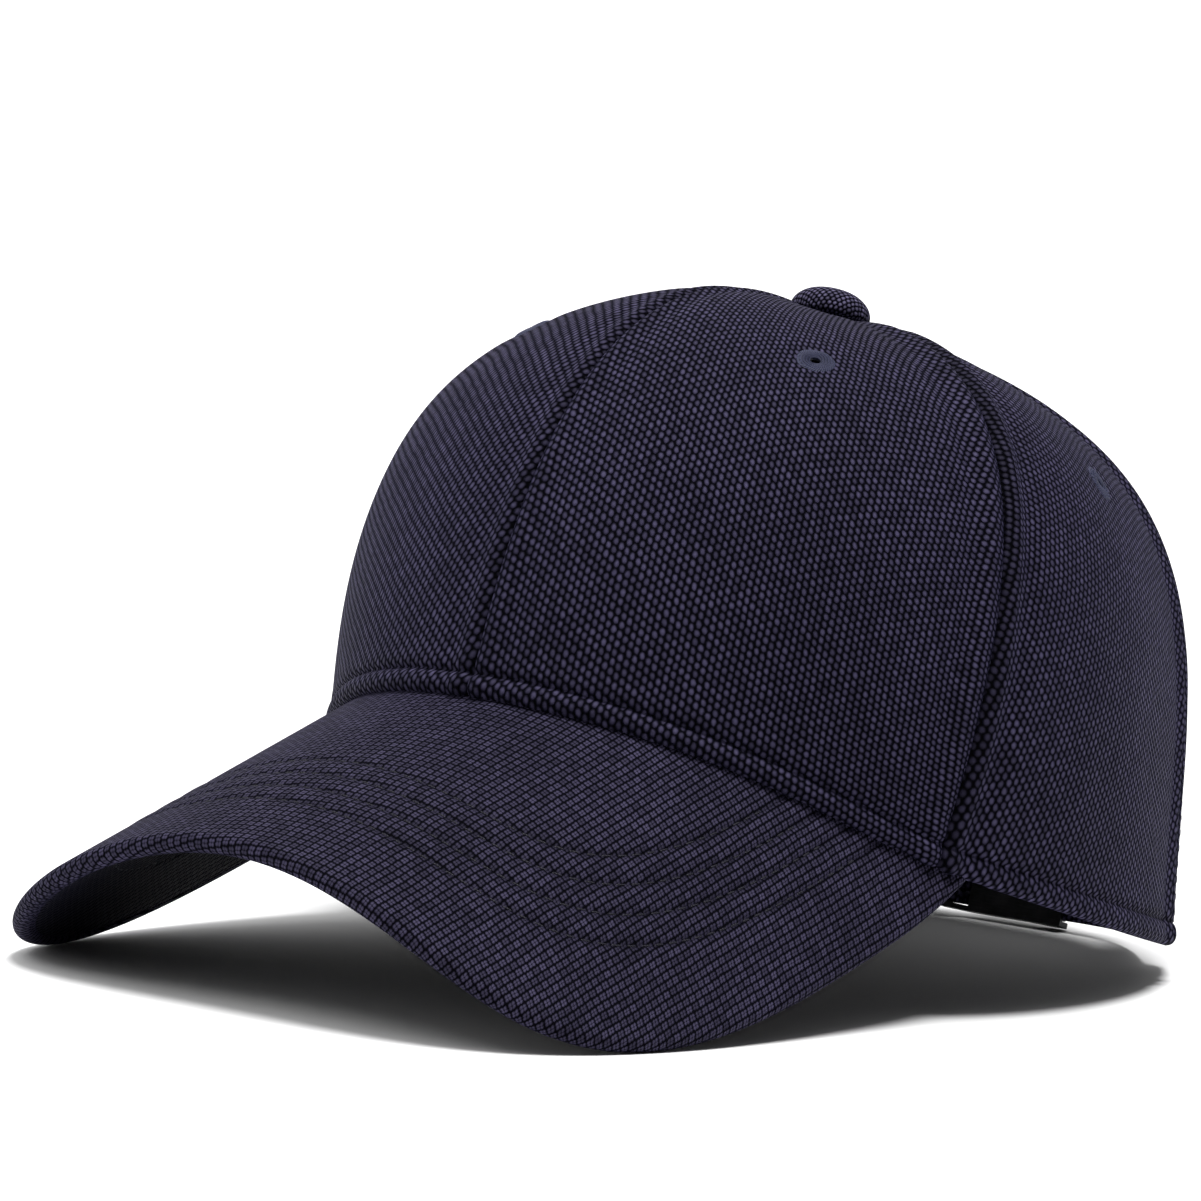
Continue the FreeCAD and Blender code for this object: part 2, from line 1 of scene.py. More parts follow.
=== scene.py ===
import bpy
import numpy as np
from math import cos, pi, radians, sin
from mathutils import Matrix, Vector
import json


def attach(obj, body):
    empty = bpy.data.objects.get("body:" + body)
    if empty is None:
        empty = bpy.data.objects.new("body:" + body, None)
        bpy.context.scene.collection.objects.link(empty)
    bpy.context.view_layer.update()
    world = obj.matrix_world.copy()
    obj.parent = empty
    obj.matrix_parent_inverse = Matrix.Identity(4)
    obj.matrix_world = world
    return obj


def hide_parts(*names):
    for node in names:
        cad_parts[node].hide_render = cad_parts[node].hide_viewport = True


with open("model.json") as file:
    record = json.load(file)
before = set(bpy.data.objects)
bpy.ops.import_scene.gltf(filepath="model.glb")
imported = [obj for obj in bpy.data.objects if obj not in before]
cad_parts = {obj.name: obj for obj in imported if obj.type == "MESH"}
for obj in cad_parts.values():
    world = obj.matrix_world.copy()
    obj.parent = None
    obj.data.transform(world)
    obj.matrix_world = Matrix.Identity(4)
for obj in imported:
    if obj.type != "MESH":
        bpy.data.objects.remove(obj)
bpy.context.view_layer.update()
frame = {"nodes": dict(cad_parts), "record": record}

# ---- the cap's driving dimensions, in mm, as in the CAD part ---------------------------------
EDGE_HALF_WIDTH = 78.0
EDGE_FRONT = 86.1
EDGE_REAR = 98.0
EDGE_FLATTEN = 0.022
CROWN_HEIGHT = 96.5
BUTTON_BACK = -5.6
SIDE_DIP = -6.5
BELLY = (0.051, 0.099, 0.014, -0.092)
SHOULDER = (0.619, 0.301, 0.174, 0.051)
CREST = (0.899, -0.470, -0.108, -0.180)
REAR_TUCK = 0.16
REAR_ROUND = 0.42
SEAMS = np.radians((0.0, 67.7, 124.0, 180.0))
TILT = radians(13.9)
TOP_HOLE = 3.2
BAND_DEPTH = 3.1
BAND_THICK = 1.4
BAND_HEIGHT = 32.0
BAND_END = radians(134.0)
VISOR_LENGTH = 67.7
VISOR_HALF_WIDTH = 97.4
CORNER = radians(72.6)
SLOPE = radians(33.2)
VISOR_CURVATURE = 0.01448
VISOR_STRAIGHTEN = -1.140e-06
VISOR_FLARE = -0.031
VISOR_WIDEST = -46.4
VISOR_ROUNDNESS = 2.73
VISOR_THICK = 3.8
HEM_GAP = 0.1
COVER_THICK = 0.9
ARCH_HALF_WIDTH = 52.0
ARCH_HEIGHT = 58.0
# angle and share of the way up of each panel's eyelet
EYELETS = {"front": (radians(37.0), 0.521), "side": (radians(98.1), 0.612),
           "rear": (radians(152.0), 0.560)}
STRAP_WIDTH = 23.2
STRAP_LOW = 0.2
STRAP_DROP = 1.8
STRAP_THICK = 0.9
STRAP_Y = 94.5
STRAP_DEPTH = 2.5
STRAP_ENDS = np.radians((127.0, 143.0))
STRAIGHT_HALF = 17.0
BAR_X = -14.0
BAR_SHIFT = -2.6
PIN = (9.5, STRAP_Y + 2.3, STRAP_LOW + STRAP_WIDTH / 2)
FRONT_Y = -EDGE_FRONT

SIDES = ((1, "left"), (-1, "right"))
SMALL = 1e-4
random = np.random.default_rng(7)


def vec(*parts):
    return np.stack(np.broadcast_arrays(*parts), -1).astype(float)


def unit(v):
    return v / np.maximum(np.linalg.norm(v, axis=-1, keepdims=True), 1e-12)


def tip(p, angle=TILT):
    c, s = cos(angle), sin(angle)
    return vec(p[..., 0], p[..., 1] * c + p[..., 2] * s, p[..., 2] * c - p[..., 1] * s)


pivot = np.array(frame["record"]["behaviour"]["joints"][0]["pos_m"]) * 1000
SHIFT = pivot - tip(np.array(PIN))


def placed(p):
    """Working frame, in mm with the crown's lower edge level, to the part's frame in metres."""
    return (tip(np.asarray(p, float)) + SHIFT) / 1000


def bisect(f, low, high, like):
    low = np.full(np.shape(like), low, float)
    high = np.full(np.shape(like), high, float)
    for _ in range(36):
        mid = (low + high) / 2
        below = f(mid) < 0
        low = np.where(below, mid, low)
        high = np.where(below, high, mid)
    return (low + high) / 2


def hump(distance, middle, width):
    """Bell curve: 1 at the middle, fading over the width."""
    return np.exp(-((distance - middle) / width) ** 2)


def hermite(start, start_way, end, end_way, v):
    """Cubic from start to end that leaves and arrives along the given ways."""
    return (start * (2 * v ** 3 - 3 * v * v + 1) + start_way * (v ** 3 - 2 * v * v + v)
            + end * (3 * v * v - 2 * v ** 3) + end_way * (v ** 3 - v * v))


# ---- crown surface ---------------------------------------------------------------------------
def harmonic(terms, phi):
    return sum(c * np.cos(n * phi) for n, c in enumerate(terms))


def crown(phi, t):
    phi, t = np.broadcast_arrays(np.asarray(phi, float), np.asarray(t, float))
    u, front = 1 - t, np.cos(phi) > 0
    reach = np.where(front, EDGE_FRONT, EDGE_REAR)
    k = np.where(front, (1 + EDGE_FLATTEN * np.cos(4 * phi)) / (1 + EDGE_FLATTEN), 1.0)
    rear = np.maximum(0.0, -np.cos(phi)) ** 6
    belly = harmonic(BELLY, phi) - REAR_TUCK * rear
    crest = harmonic(CREST, phi) - REAR_ROUND * rear
    rho = u ** 3 + 3 * u * u * t * (1 + belly) + 3 * u * t * t * crest
    rise = 3 * u * u * t * harmonic(SHOULDER, phi) + 3 * u * t * t + t ** 3
    return vec(EDGE_HALF_WIDTH * np.sin(phi) * k * rho,
               BUTTON_BACK * (1 - rho) - reach * np.cos(phi) * k * rho,
               CROWN_HEIGHT * rise + SIDE_DIP * np.sin(phi) ** 2 * u * u)


def crown_normal(phi, t):
    t = np.clip(t, SMALL, 1 - 2 * SMALL)
    along = crown(phi + SMALL, t) - crown(phi - SMALL, t)
    up = crown(phi, t + SMALL) - crown(phi, t - SMALL)
    return unit(np.cross(along, up))


def crown_at(phi, t, depth):
    return crown(phi, t) - crown_normal(phi, t) * np.asarray(depth, float)[..., None]


def t_at_radius(phi, radius):
    def gap(t):
        p = crown(phi, t)
        return radius - np.hypot(p[..., 0], p[..., 1] - BUTTON_BACK)
    return bisect(gap, 0.5, 0.999, phi)


def t_at_height(phi, z, depth):
    return bisect(lambda t: crown_at(phi, t, depth)[..., 2] - z, 0.0, 0.75, phi)


def wall_above(x, z, depth):
    """Angle and t of the rear wall where it has the given x and z."""
    phi, t = pi - x / 85.0, 0.05 + z / 160.0
    for _ in range(12):
        p = crown_at(phi, t, depth)
        a = (crown_at(phi + SMALL, t, depth) - p) / SMALL
        b = (crown_at(phi, t + SMALL, depth) - p) / SMALL
        dx, dz = x - p[..., 0], z - p[..., 2]
        size = a[..., 0] * b[..., 2] - a[..., 2] * b[..., 0]
        phi = phi + (dx * b[..., 2] - dz * b[..., 0]) / size
        t = t + (a[..., 0] * dz - a[..., 2] * dx) / size
    return phi, t


# ---- visor surface ---------------------------------------------------------------------------
STEP = 0.5
section_q = np.arange(0, 251) * STEP
bend = VISOR_CURVATURE * section_q + VISOR_STRAIGHTEN * section_q ** 3 / 3
bend_mid = np.interp(section_q[:-1] + STEP / 2, section_q, bend)
section_x = np.concatenate(([0.0], np.cumsum(STEP * np.cos(bend_mid))))
section_z = np.concatenate(([0.0], -np.cumsum(STEP * np.sin(bend_mid))))


def flare(g):
    return 1 + VISOR_FLARE * g / 70.0


def visor_raw(s, g, depth):
    k = flare(g)
    q = np.abs(s) * k
    a = np.sign(s) * np.interp(q, section_q, bend)
    x = np.sign(s) * np.interp(q, section_q, section_x) / k
    z = np.interp(q, section_q, section_z) / k - g * sin(SLOPE)
    normal = vec(np.sin(a), -np.cos(a) * sin(SLOPE), np.cos(a) * cos(SLOPE))
    surface = vec(x, FRONT_Y - g * cos(SLOPE), z)
    return surface - normal * np.asarray(depth, float)[..., None], normal


def unrolled(x, y):
    g = -(y - FRONT_Y) / cos(SLOPE)
    k = flare(g)
    return np.sign(x) * np.interp(np.abs(x) * k, section_x, section_q) / k, g


corner_point = crown(CORNER, 0.0)
CORNER_S, CORNER_G = (float(v) for v in unrolled(corner_point[0], corner_point[1]))
VISOR_Z = corner_point[2] - visor_raw(CORNER_S, CORNER_G, 0.0)[0][2]


def visor(s, g, depth):
    p, normal = visor_raw(s, g, depth)
    return p + np.array((0, 0, VISOR_Z)), normal


def hem_t(phi, depth=0.0, lift=0.0):
    """Where the crown's lower edge is: on the visor's top in front, at t = 0 elsewhere."""
    phi = np.abs(phi)

    def above(t):
        p = crown_at(phi, t, depth)
        s, g = unrolled(p[..., 0], p[..., 1])
        return p[..., 2] - visor(s, g, 0.0)[0][..., 2] - HEM_GAP - lift
    low = bisect(above, 0.0, 0.5, phi)
    low = np.where(above(np.zeros_like(phi)) < 0, low, 0.0)
    rest = np.zeros_like(phi)
    if lift:
        rest = t_at_height(phi, crown(phi, 0.0)[..., 2] + lift, depth)
    return np.where(phi >= CORNER + radians(3), rest, low)


def free_edge():
    a = np.linspace(0, pi / 2, 121)
    s = VISOR_HALF_WIDTH * np.sin(a) ** (2 / VISOR_ROUNDNESS)
    ahead = np.maximum(np.cos(a), 0) ** (2 / VISOR_ROUNDNESS)
    g = VISOR_WIDEST + (VISOR_LENGTH - VISOR_WIDEST) * ahead
    drop = CORNER_G - VISOR_WIDEST
    knots = ((VISOR_HALF_WIDTH, VISOR_WIDEST), (VISOR_HALF_WIDTH, VISOR_WIDEST + 0.55 * drop),
             (CORNER_S + 0.35 * (VISOR_HALF_WIDTH - CORNER_S), CORNER_G - 0.18 * drop),
             (CORNER_S, CORNER_G))
    v = np.linspace(0, 1, 41)[1:, None]
    w = 1 - v
    p0, p1, p2, p3 = (np.array(k) for k in knots)
    tail = w ** 3 * p0 + 3 * w * w * v * p1 + 3 * w * v * v * p2 + v ** 3 * p3
    return np.vstack((np.stack((s, g), -1), tail))


EDGE = free_edge()
EDGE_RUN = np.concatenate(([0], np.cumsum(np.linalg.norm(np.diff(EDGE, axis=0), axis=1))))


def edge_at(fraction):
    want = fraction * EDGE_RUN[-1]
    return vec(*(np.interp(want, EDGE_RUN, EDGE[:, k]) for k in range(2)))


def edge_distance(s, g):
    """Distance on the flat pattern from the visor's free edge."""
    points = np.stack((np.abs(s), g), -1)[..., None, :]
    a, d = EDGE[:-1], np.diff(EDGE, axis=0)
    f = np.clip(((points - a) * d).sum(-1) / (d * d).sum(-1), 0, 1)
    return np.linalg.norm(points - (a + d * f[..., None]), axis=-1).min(-1)


# ---- meshes ----------------------------------------------------------------------------------
def linked(name, data):
    obj = bpy.data.objects.new(name, data)
    bpy.context.scene.collection.objects.link(obj)
    return obj


def show(name, verts, faces, uvs, material, nodes=(), sharp=55, groove_shade=None):
    """A mesh piece from points in the working frame.

    uvs are in mm on the flat cloth, and the per-point value given for groove_shade darkens the cloth
    with painted shade along seams and sewn rows.
    """
    mesh = bpy.data.meshes.new(name)
    mesh.from_pydata(placed(verts).tolist(), [], faces)
    layer = mesh.uv_layers.new(name="cloth")
    loops = np.empty(len(mesh.loops), np.int32)
    mesh.loops.foreach_get("vertex_index", loops)
    layer.data.foreach_set("uv", uvs[loops].astype(np.float32).ravel())
    if groove_shade is not None:
        values = mesh.attributes.new("groove_shade", "FLOAT", "POINT").data
        values.foreach_set("value", groove_shade.astype(np.float32))
    mesh.validate()
    mesh.shade_smooth()
    mesh.set_sharp_from_angle(angle=radians(sharp))
    obj = linked(name, mesh)
    obj.data.materials.append(material)
    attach(obj, "cap")
    if nodes:
        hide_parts(*nodes)
    return obj


def quads(rows, columns, start=0, turn=False):
    i, j = np.meshgrid(np.arange(rows - 1), np.arange(columns - 1), indexing="ij")
    a = start + i * columns + j
    f = np.stack((a, a + columns, a + columns + 1, a + 1), -1).reshape(-1, 4)
    return f[:, ::-1] if turn else f


def shell(name, outer, inner, uv, material, slot, nodes=(), turn=False, groove_shade=None):
    """Closed piece between two equal grids; the first grid's normal is row x column."""
    n, m = outer.shape[:2]
    size = n * m
    verts = np.concatenate((outer.reshape(-1, 3), inner.reshape(-1, 3)))
    ring = np.concatenate((np.arange(m), np.arange(1, n) * m + m - 1,
                           (n - 1) * m + np.arange(m - 2, -1, -1), np.arange(n - 2, 0, -1) * m))
    after = np.roll(ring, -1)
    rim = np.stack((ring, after, after + size, ring + size), -1)
    faces = np.concatenate((quads(n, m), quads(n, m, size, True), rim))
    if turn:
        faces = faces[:, ::-1]
    uvs = np.concatenate((uv.reshape(-1, 2), uv.reshape(-1, 2)))
    if groove_shade is not None:
        groove_shade = np.concatenate((groove_shade.ravel(), groove_shade.ravel()))
    return show(name, verts, faces.tolist(), uvs, material, nodes, groove_shade=groove_shade)


def mirror(p):
    return p * np.array((-1.0, 1.0, 1.0))


def sided(side, *grids):
    """The grids as made for side 1, and mirrored for side -1."""
    return [grid if side == 1 else mirror(grid) for grid in grids]


def rounded(distance, radius, amount):
    """How far a surface drops as it turns over an edge."""
    k = np.clip(1 - distance / radius, 0, 1)
    return amount * (1 - np.sqrt(1 - k * k))


def run_of(points):
    """Length along the first axis of a grid of points."""
    steps = np.linalg.norm(np.diff(points, axis=0), axis=-1)
    return np.concatenate((np.zeros((1,) + steps.shape[1:]), np.cumsum(steps, axis=0)))


STITCH_SWELL = np.array((0.45, 0.85, 1.0, 1.0, 1.0, 0.85, 0.45))
STITCH_SIDES = 6
STITCH_SINK = 0.22
STITCH_WIDEN = 1.15


def stitches(name, paths, material, pitch=3.1, length=2.5, radius=0.20, lift=0.16):
    """Sewn thread: one small bowed strand for each stitch along paths of (points, normals)."""
    verts, faces, uvs, start = [], [], [], 0
    rings, sides = len(STITCH_SWELL), STITCH_SIDES
    size = rings * sides
    along = np.linspace(0, 1, rings)
    bow = lift * np.sin(pi * along) ** 0.6 - STITCH_SINK * (2 * along - 1) ** 4
    ring = np.arange(sides) * 2 * pi / sides
    for points, normals in paths:
        run = run_of(points)
        count = int(run[-1] // pitch)
        if count < 1:
            continue
        spare = run[-1] - count * pitch
        first = np.arange(count) * pitch + spare / 2 + random.uniform(-0.1, 0.1, count)
        at = first[:, None] + along * length
        p = np.stack([np.interp(at, run, points[:, k]) for k in range(3)], -1)
        n = unit(np.stack([np.interp(at, run, normals[:, k]) for k in range(3)], -1))
        side = unit(np.cross(unit(np.gradient(p, axis=1)), n))
        round_it = (side[:, :, None] * np.cos(ring)[None, None, :, None] * STITCH_WIDEN
                    + n[:, :, None] * np.sin(ring)[None, None, :, None])
        tube = (p + n * bow[None, :, None])[:, :, None] + (
            radius * STITCH_SWELL[None, :, None, None]) * round_it
        verts.append(tube.reshape(-1, 3))
        uvs.append(vec(at[:, :, None], ring[None, None] * radius).reshape(-1, 2))
        k, i, j = np.meshgrid(np.arange(count), np.arange(rings - 1), np.arange(sides), indexing="ij")
        base = start + k * size
        a, b = base + i * sides + j, base + i * sides + (j + 1) % sides
        faces += np.stack((a, b, b + sides, a + sides), -1).reshape(-1, 4).tolist()
        for low in range(start, start + count * size, size):
            faces.append([low + q for q in range(sides - 1, -1, -1)])
            faces.append([low + size - sides + q for q in range(sides)])
        start += count * size
    return show(name, np.concatenate(verts), faces, np.concatenate(uvs), material)


# ---- materials -------------------------------------------------------------------------------
def wire(tree, value, socket):
    """Links a socket's value in, or sets a constant."""
    if isinstance(value, bpy.types.NodeSocket):
        tree.links.new(value, socket)
    else:
        socket.default_value = value


def add_node(tree, kind, values=(), **settings):
    node = tree.nodes.new(kind)
    for key, value in settings.items():
        setattr(node, key, value)
    for key, value in dict(values).items():
        wire(tree, value, node.inputs[key])
    return node.outputs


class Nodes:
    """Small helper that adds and joins a material's shader nodes."""

    def __init__(self, name):
        self.material = bpy.data.materials.new(name)
        self.material.use_nodes = True
        self.tree = self.material.node_tree
        self.shader = self.tree.nodes["Principled BSDF"]

    def add(self, kind, values=(), **settings):
        return add_node(self.tree, kind, values, **settings)

    def math(self, operation, a, b=0.0, clamp=False):
        return self.add("ShaderNodeMath", {0: a, 1: b}, operation=operation, use_clamp=clamp)[0]

    def plus(self, a, b):
        return self.math("ADD", a, b)

    def minus(self, a, b, clamp=False):
        return self.math("SUBTRACT", a, b, clamp)

    def times(self, a, b):
        return self.math("MULTIPLY", a, b)

    def ribs(self, place):
        """Rounded ridges, one for each whole step of the place."""
        return self.math("ABSOLUTE", self.math("SINE", self.times(place, pi)))

    def vmath(self, operation, a, b):
        return self.add("ShaderNodeVectorMath", {0: a, 1: b}, operation=operation)["Vector"]

    def remap(self, value, low, high, start=0.0, stop=1.0):
        """The value with start to stop spread over low to high, and clamped there."""
        return self.add("ShaderNodeMapRange", {"Value": value, "From Min": start, "From Max": stop,
                                               "To Min": low, "To Max": high})[0]

    def ramp(self, factor, stops):
        node = self.tree.nodes.new("ShaderNodeValToRGB")
        for k, (place, colour) in enumerate(stops):
            element = node.color_ramp.elements[k] if k < 2 else node.color_ramp.elements.new(place)
            element.position = place
            element.color = tuple(colour) + (1.0,)
        self.tree.links.new(factor, node.inputs[0])
        return node.outputs[0]

    def toned(self, colour, level):
        """The colour made lighter or darker by the level."""
        grey = self.add("ShaderNodeCombineColor", {0: level, 1: level, 2: level})[0]
        return self.add("ShaderNodeMix", {0: 1.0, 6: colour, 7: grey}, data_type="RGBA",
                        blend_type="MULTIPLY")[2]

    def noise(self, vector, scale, detail=2.0, rough=0.5):
        return self.add("ShaderNodeTexNoise", {"Vector": vector, "Scale": scale, "Detail": detail,
                                               "Roughness": rough})["Fac"]

    def stretched(self, vector, factors, detail, rough=0.5):
        """Noise drawn out by a factor for each axis."""
        return self.noise(self.vmath("MULTIPLY", vector, factors), 1.0, detail, rough)

    def cloth(self):
        """Place on the flat cloth, in mm."""
        return self.add("ShaderNodeUVMap", uv_map="cloth")[0]

    def drift(self, flat, scale, detail, amount):
        """How far the pattern strays from its place, in mm."""
        noise = self.add("ShaderNodeTexNoise", {"Vector": flat, "Scale": scale, "Detail": detail})
        centred = self.vmath("SUBTRACT", noise["Color"], (0.5, 0.5, 0.5))
        return self.vmath("MULTIPLY", centred, (amount, amount, 0))

    def finish(self, colour, rough, height, distance, strength=1.0, **constants):
        """Fills in the shader; distance is the bump's depth in metres."""
        if not isinstance(colour, bpy.types.NodeSocket):
            colour = tuple(colour) + (1.0,)
        wire(self.tree, colour, self.shader.inputs["Base Color"])
        wire(self.tree, rough, self.shader.inputs["Roughness"])
        for key, value in constants.items():
            self.shader.inputs[key.replace("_", " ")].default_value = value
        bump = self.add("ShaderNodeBump", {"Height": height, "Strength": strength,
                                           "Distance": distance})
        self.tree.links.new(bump[0], self.shader.inputs["Normal"])
        return self.material


KNIT_DEPTH = 0.00034  # metres
# how much the painted shade along seams and sewn rows darkens the cloth
GROOVE_SHADE_DARKENING = 0.55
PLY_PITCH = 0.55
PLY_LEAN = 2.2


def knit_cloth(name, gap, low, high, cell, shift, beads):
    """Knitted cloth of raised stitches in columns, laid out in mm by the cloth's own flat pattern.

    cell is the column's width and the stitch's length, shift how far each column sits below the
    last, and beads lists each raised spot of a stitch as (x, y, half width, half length).
    """
    n = Nodes(name)
    flat = n.cloth()
    strayed = n.vmath("ADD", flat, n.drift(flat, 0.12, 2.0, 0.6))
    moved = n.add("ShaderNodeSeparateXYZ", {0: n.vmath("ADD", strayed, n.drift(flat, 0.9, 1.0, 0.30))})
    column = n.math("ROUND", n.math("DIVIDE", moved[0], cell[0]))
    across = n.minus(moved[0], n.times(column, cell[0]))
    lifted = n.plus(moved[1], n.times(column, shift))
    row = n.math("ROUND", n.math("DIVIDE", lifted, cell[1]))
    along = n.minus(lifted, n.times(row, cell[1]))
    height = None
    for x, y, wide, tall in beads:
        dx = n.times(n.minus(across, x), 1 / wide)
        dy = n.times(n.minus(along, y), 1 / tall)
        reach = n.plus(n.times(dx, dx), n.times(dy, dy))
        dome = n.math("SQRT", n.minus(1.0, reach, clamp=True))
        height = dome if height is None else n.math("MAXIMUM", height, dome)
    label = n.add("ShaderNodeCombineXYZ", {0: column, 1: row, 2: 0.5})[0]
    shade = n.add("ShaderNodeTexWhiteNoise", {"Vector": label}, noise_dimensions="3D")["Value"]
    fibre = n.stretched(flat, (8.0, 2.6, 1), 3.0, 0.6)
    broad = n.noise(flat, 0.035, 3.0, 0.55)
    level = n.times(n.remap(shade, 0.70, 1.30), n.remap(broad, 0.86, 1.14, 0.3, 0.7))
    level = n.times(level, n.remap(fibre, 0.65, 1.35))
    # painted shade: the cloth is darkened along seams and sewn rows by a per-point value
    groove_shade = n.add("ShaderNodeAttribute", attribute_name="groove_shade")["Fac"]
    level = n.times(level, n.minus(1.0, n.times(groove_shade, GROOVE_SHADE_DARKENING), clamp=True))
    # painted shade and highlight: by each stitch's height, the colour runs from nearly black in the
    # gaps to light on the stitch tops
    colour = n.toned(n.ramp(height, ((0.0, gap), (0.58, low), (1.0, high))), level)
    return n.finish(colour, n.remap(height, 0.95, 0.50), n.plus(height, n.times(fibre, 0.16)),
                    KNIT_DEPTH, Specular_IOR_Level=0.03, Sheen_Weight=0.03, Sheen_Roughness=0.45,
                    Sheen_Tint=(0.42, 0.42, 1.0, 1.0))


def woven_cloth(name, dark, light, pitch, twill, depth=0.0002):
    """Plain or twill tape: warp and weft ribs crossing at the given pitch in mm."""
    n = Nodes(name)
    flat = n.cloth()
    strayed = n.vmath("ADD", flat, n.drift(flat, 0.5, 1.0, 0.3))
    split = n.add("ShaderNodeSeparateXYZ", {0: n.vmath("DIVIDE", strayed, (pitch, pitch, 1))})
    warp = n.ribs(split[0])
    weft = n.ribs(n.plus(split[1], n.times(split[0], twill)))
    height = n.times(n.math("POWER", warp, 0.7), n.plus(n.times(weft, 0.75), 0.25))
    fibre = n.stretched(flat, (5.0, 14.0, 1), 3.0, 0.6)
    broad = n.noise(flat, 0.08, 3.0, 0.5)
    level = n.remap(n.plus(n.times(fibre, 0.5), n.times(broad, 0.5)), 0.75, 1.25, 0.3, 0.7)
    # painted shade: by the ribs' height, the colour runs from dark between the ribs to light on their
    # crowns
    colour = n.toned(n.ramp(height, ((0.0, dark), (1.0, light))), level)
    return n.finish(colour, n.remap(height, 0.95, 0.7), n.plus(height, n.times(fibre, 0.2)), depth,
                    Specular_IOR_Level=0.08, Sheen_Weight=0.05, Sheen_Roughness=0.4,
                    Sheen_Tint=(0.5, 0.52, 1.0, 1.0))


def thread_material(name, dark, light):
    """Twisted sewing thread: slanted ply lines along each strand."""
    n = Nodes(name)
    flat = n.cloth()
    split = n.add("ShaderNodeSeparateXYZ", {0: flat})
    ply = n.ribs(n.plus(n.math("DIVIDE", split[0], PLY_PITCH), n.times(split[1], PLY_LEAN)))
    fuzz = n.stretched(flat, (6.0, 20.0, 1), 2.0)
    # painted shade: the colour is darker in the grooves between plies and lighter on the ply crowns,
    # with random fuzz mixed in
    tone = n.plus(n.times(ply, 0.75), n.times(fuzz, 0.25))
    return n.finish(n.ramp(tone, ((0.0, dark), (1.0, light))), 0.6, ply, 0.00008,
                    Specular_IOR_Level=0.28, Sheen_Weight=0.06, Sheen_Roughness=0.35,
                    Sheen_Tint=(0.6, 0.64, 1.0, 1.0))


def metal_material(name, dark, light, rough):
    """Brushed sheet metal with slightly worn patches."""
    n = Nodes(name)
    spot = n.add("ShaderNodeTexCoord")["Object"]
    brushed = n.stretched(spot, (300, 300, 6000), 3.0, 0.6)
    worn = n.noise(spot, 160.0, 4.0, 0.6)
    level = n.plus(n.times(brushed, 0.35), n.times(worn, 0.65))
    return n.finish(n.ramp(level, ((0.3, dark), (0.7, light))),
                    n.remap(level, rough + 0.15, rough - 0.08, 0.3, 0.7), brushed, 0.00002, 0.6,
                    Metallic=1.0)


def board_material(name, dark, light):
    """Moulded plastic sheet."""
    n = Nodes(name)
    spot = n.add("ShaderNodeTexCoord")["Object"]
    grain = n.noise(spot, 900.0, 3.0, 0.6)
    colour = n.ramp(n.noise(spot, 60.0, 3.0), ((0.3, dark), (0.7, light)))
    return n.finish(colour, 0.5, grain, 0.00003, 0.5, Specular_IOR_Level=0.4)


# column width and stitch length, shift of each column, raised spots
PIQUE = ((1.27, 1.57), 0.48, ((0, 0, 0.64, 0.80),))
BASKET = ((1.60, 1.77), 0.30, [(x, y, 0.45, 0.50) for x in (-0.29, 0.29) for y in (-0.36, 0.36)])
# near-black colour painted into the gaps between stitches as shade
GAP_SHADE = (0.0010, 0.0009, 0.0018)
CROWN_CLOTH = knit_cloth("crown_cloth", GAP_SHADE, (0.006, 0.005, 0.012), (0.054, 0.048, 0.092), *PIQUE)
# painted highlight: the button is the crown's own cloth, coloured about twice as light to stand in for
# the light falling on its dome
BUTTON_CLOTH_LIT = knit_cloth("button_fabric_lit", (0.0005, 0.0004, 0.0014), (0.010, 0.009, 0.018),
                          (0.105, 0.094, 0.165), *PIQUE)
VISOR_CLOTH = knit_cloth("visor_cloth", GAP_SHADE, (0.006, 0.005, 0.011), (0.044, 0.039, 0.072), *BASKET)
UNDER_CLOTH = knit_cloth("under_cloth", (0.0008, 0.0008, 0.0009), (0.005, 0.005, 0.006),
                         (0.018, 0.018, 0.020), *BASKET)
LINING = woven_cloth("sweatband_twill", (0.004, 0.004, 0.006), (0.022, 0.021, 0.030), 0.9, 1.0)
TAPE = woven_cloth("tape_weave", (0.004, 0.004, 0.006), (0.026, 0.025, 0.034), 0.8, 0.0)
BUCKRAM = woven_cloth("buckram_weave", (0.006, 0.006, 0.007), (0.045, 0.044, 0.050), 1.6, 0.0,
                      0.0004)
BINDING = woven_cloth("binding_weave", (0.003, 0.003, 0.007), (0.026, 0.024, 0.046), 0.8, 1.0)
THREAD = thread_material("navy_thread", (0.006, 0.006, 0.010), (0.050, 0.049, 0.072))
EYELET_THREAD = thread_material("eyelet_thread", (0.005, 0.006, 0.015), (0.036, 0.040, 0.095))
VISOR_THREAD = thread_material("visor_thread", (0.002, 0.002, 0.005), (0.011, 0.010, 0.019))
METAL = metal_material("blacked_steel", (0.010, 0.010, 0.011), (0.050, 0.050, 0.054), 0.40)
ZINC = metal_material("zinc_steel", (0.38, 0.38, 0.39), (0.62, 0.62, 0.63), 0.38)
BOARD = board_material("visor_board_plastic", (0.010, 0.010, 0.012), (0.018, 0.018, 0.021))


# ---- crown panels ----------------------------------------------------------------------------
NEAR = np.array((0, 0.12, 0.3, 0.55, 0.85, 1.2, 1.6, 2.1, 2.7, 3.4, 4.3))
LOW_ROWS = np.array((0, 0.1, 0.25, 0.5, 0.9, 1.4, 1.9, 2.4, 2.9, 3.3, 3.6, 3.9, 4.2, 4.5, 4.8,
                     5.1, 5.4, 5.8, 6.4, 7.2, 8.2))
FULL_COLUMNS = 84
HIGH_ROWS = 104
BORDER_POINTS = 90
HEM_POINTS = 30
SIDE_GRAIN = radians(13)
FAR_GRAIN = radians(15)
SEAM_SWELL = dict(zip(SEAMS, (0.50, 1.05, 0.70, 0.50)))
CLOTH_DEPTH = 1.0
THINNEST = 0.08
NARROW_COLUMNS = 22.0
NARROW_RELIEF = 30.0
HOLE = 2.0
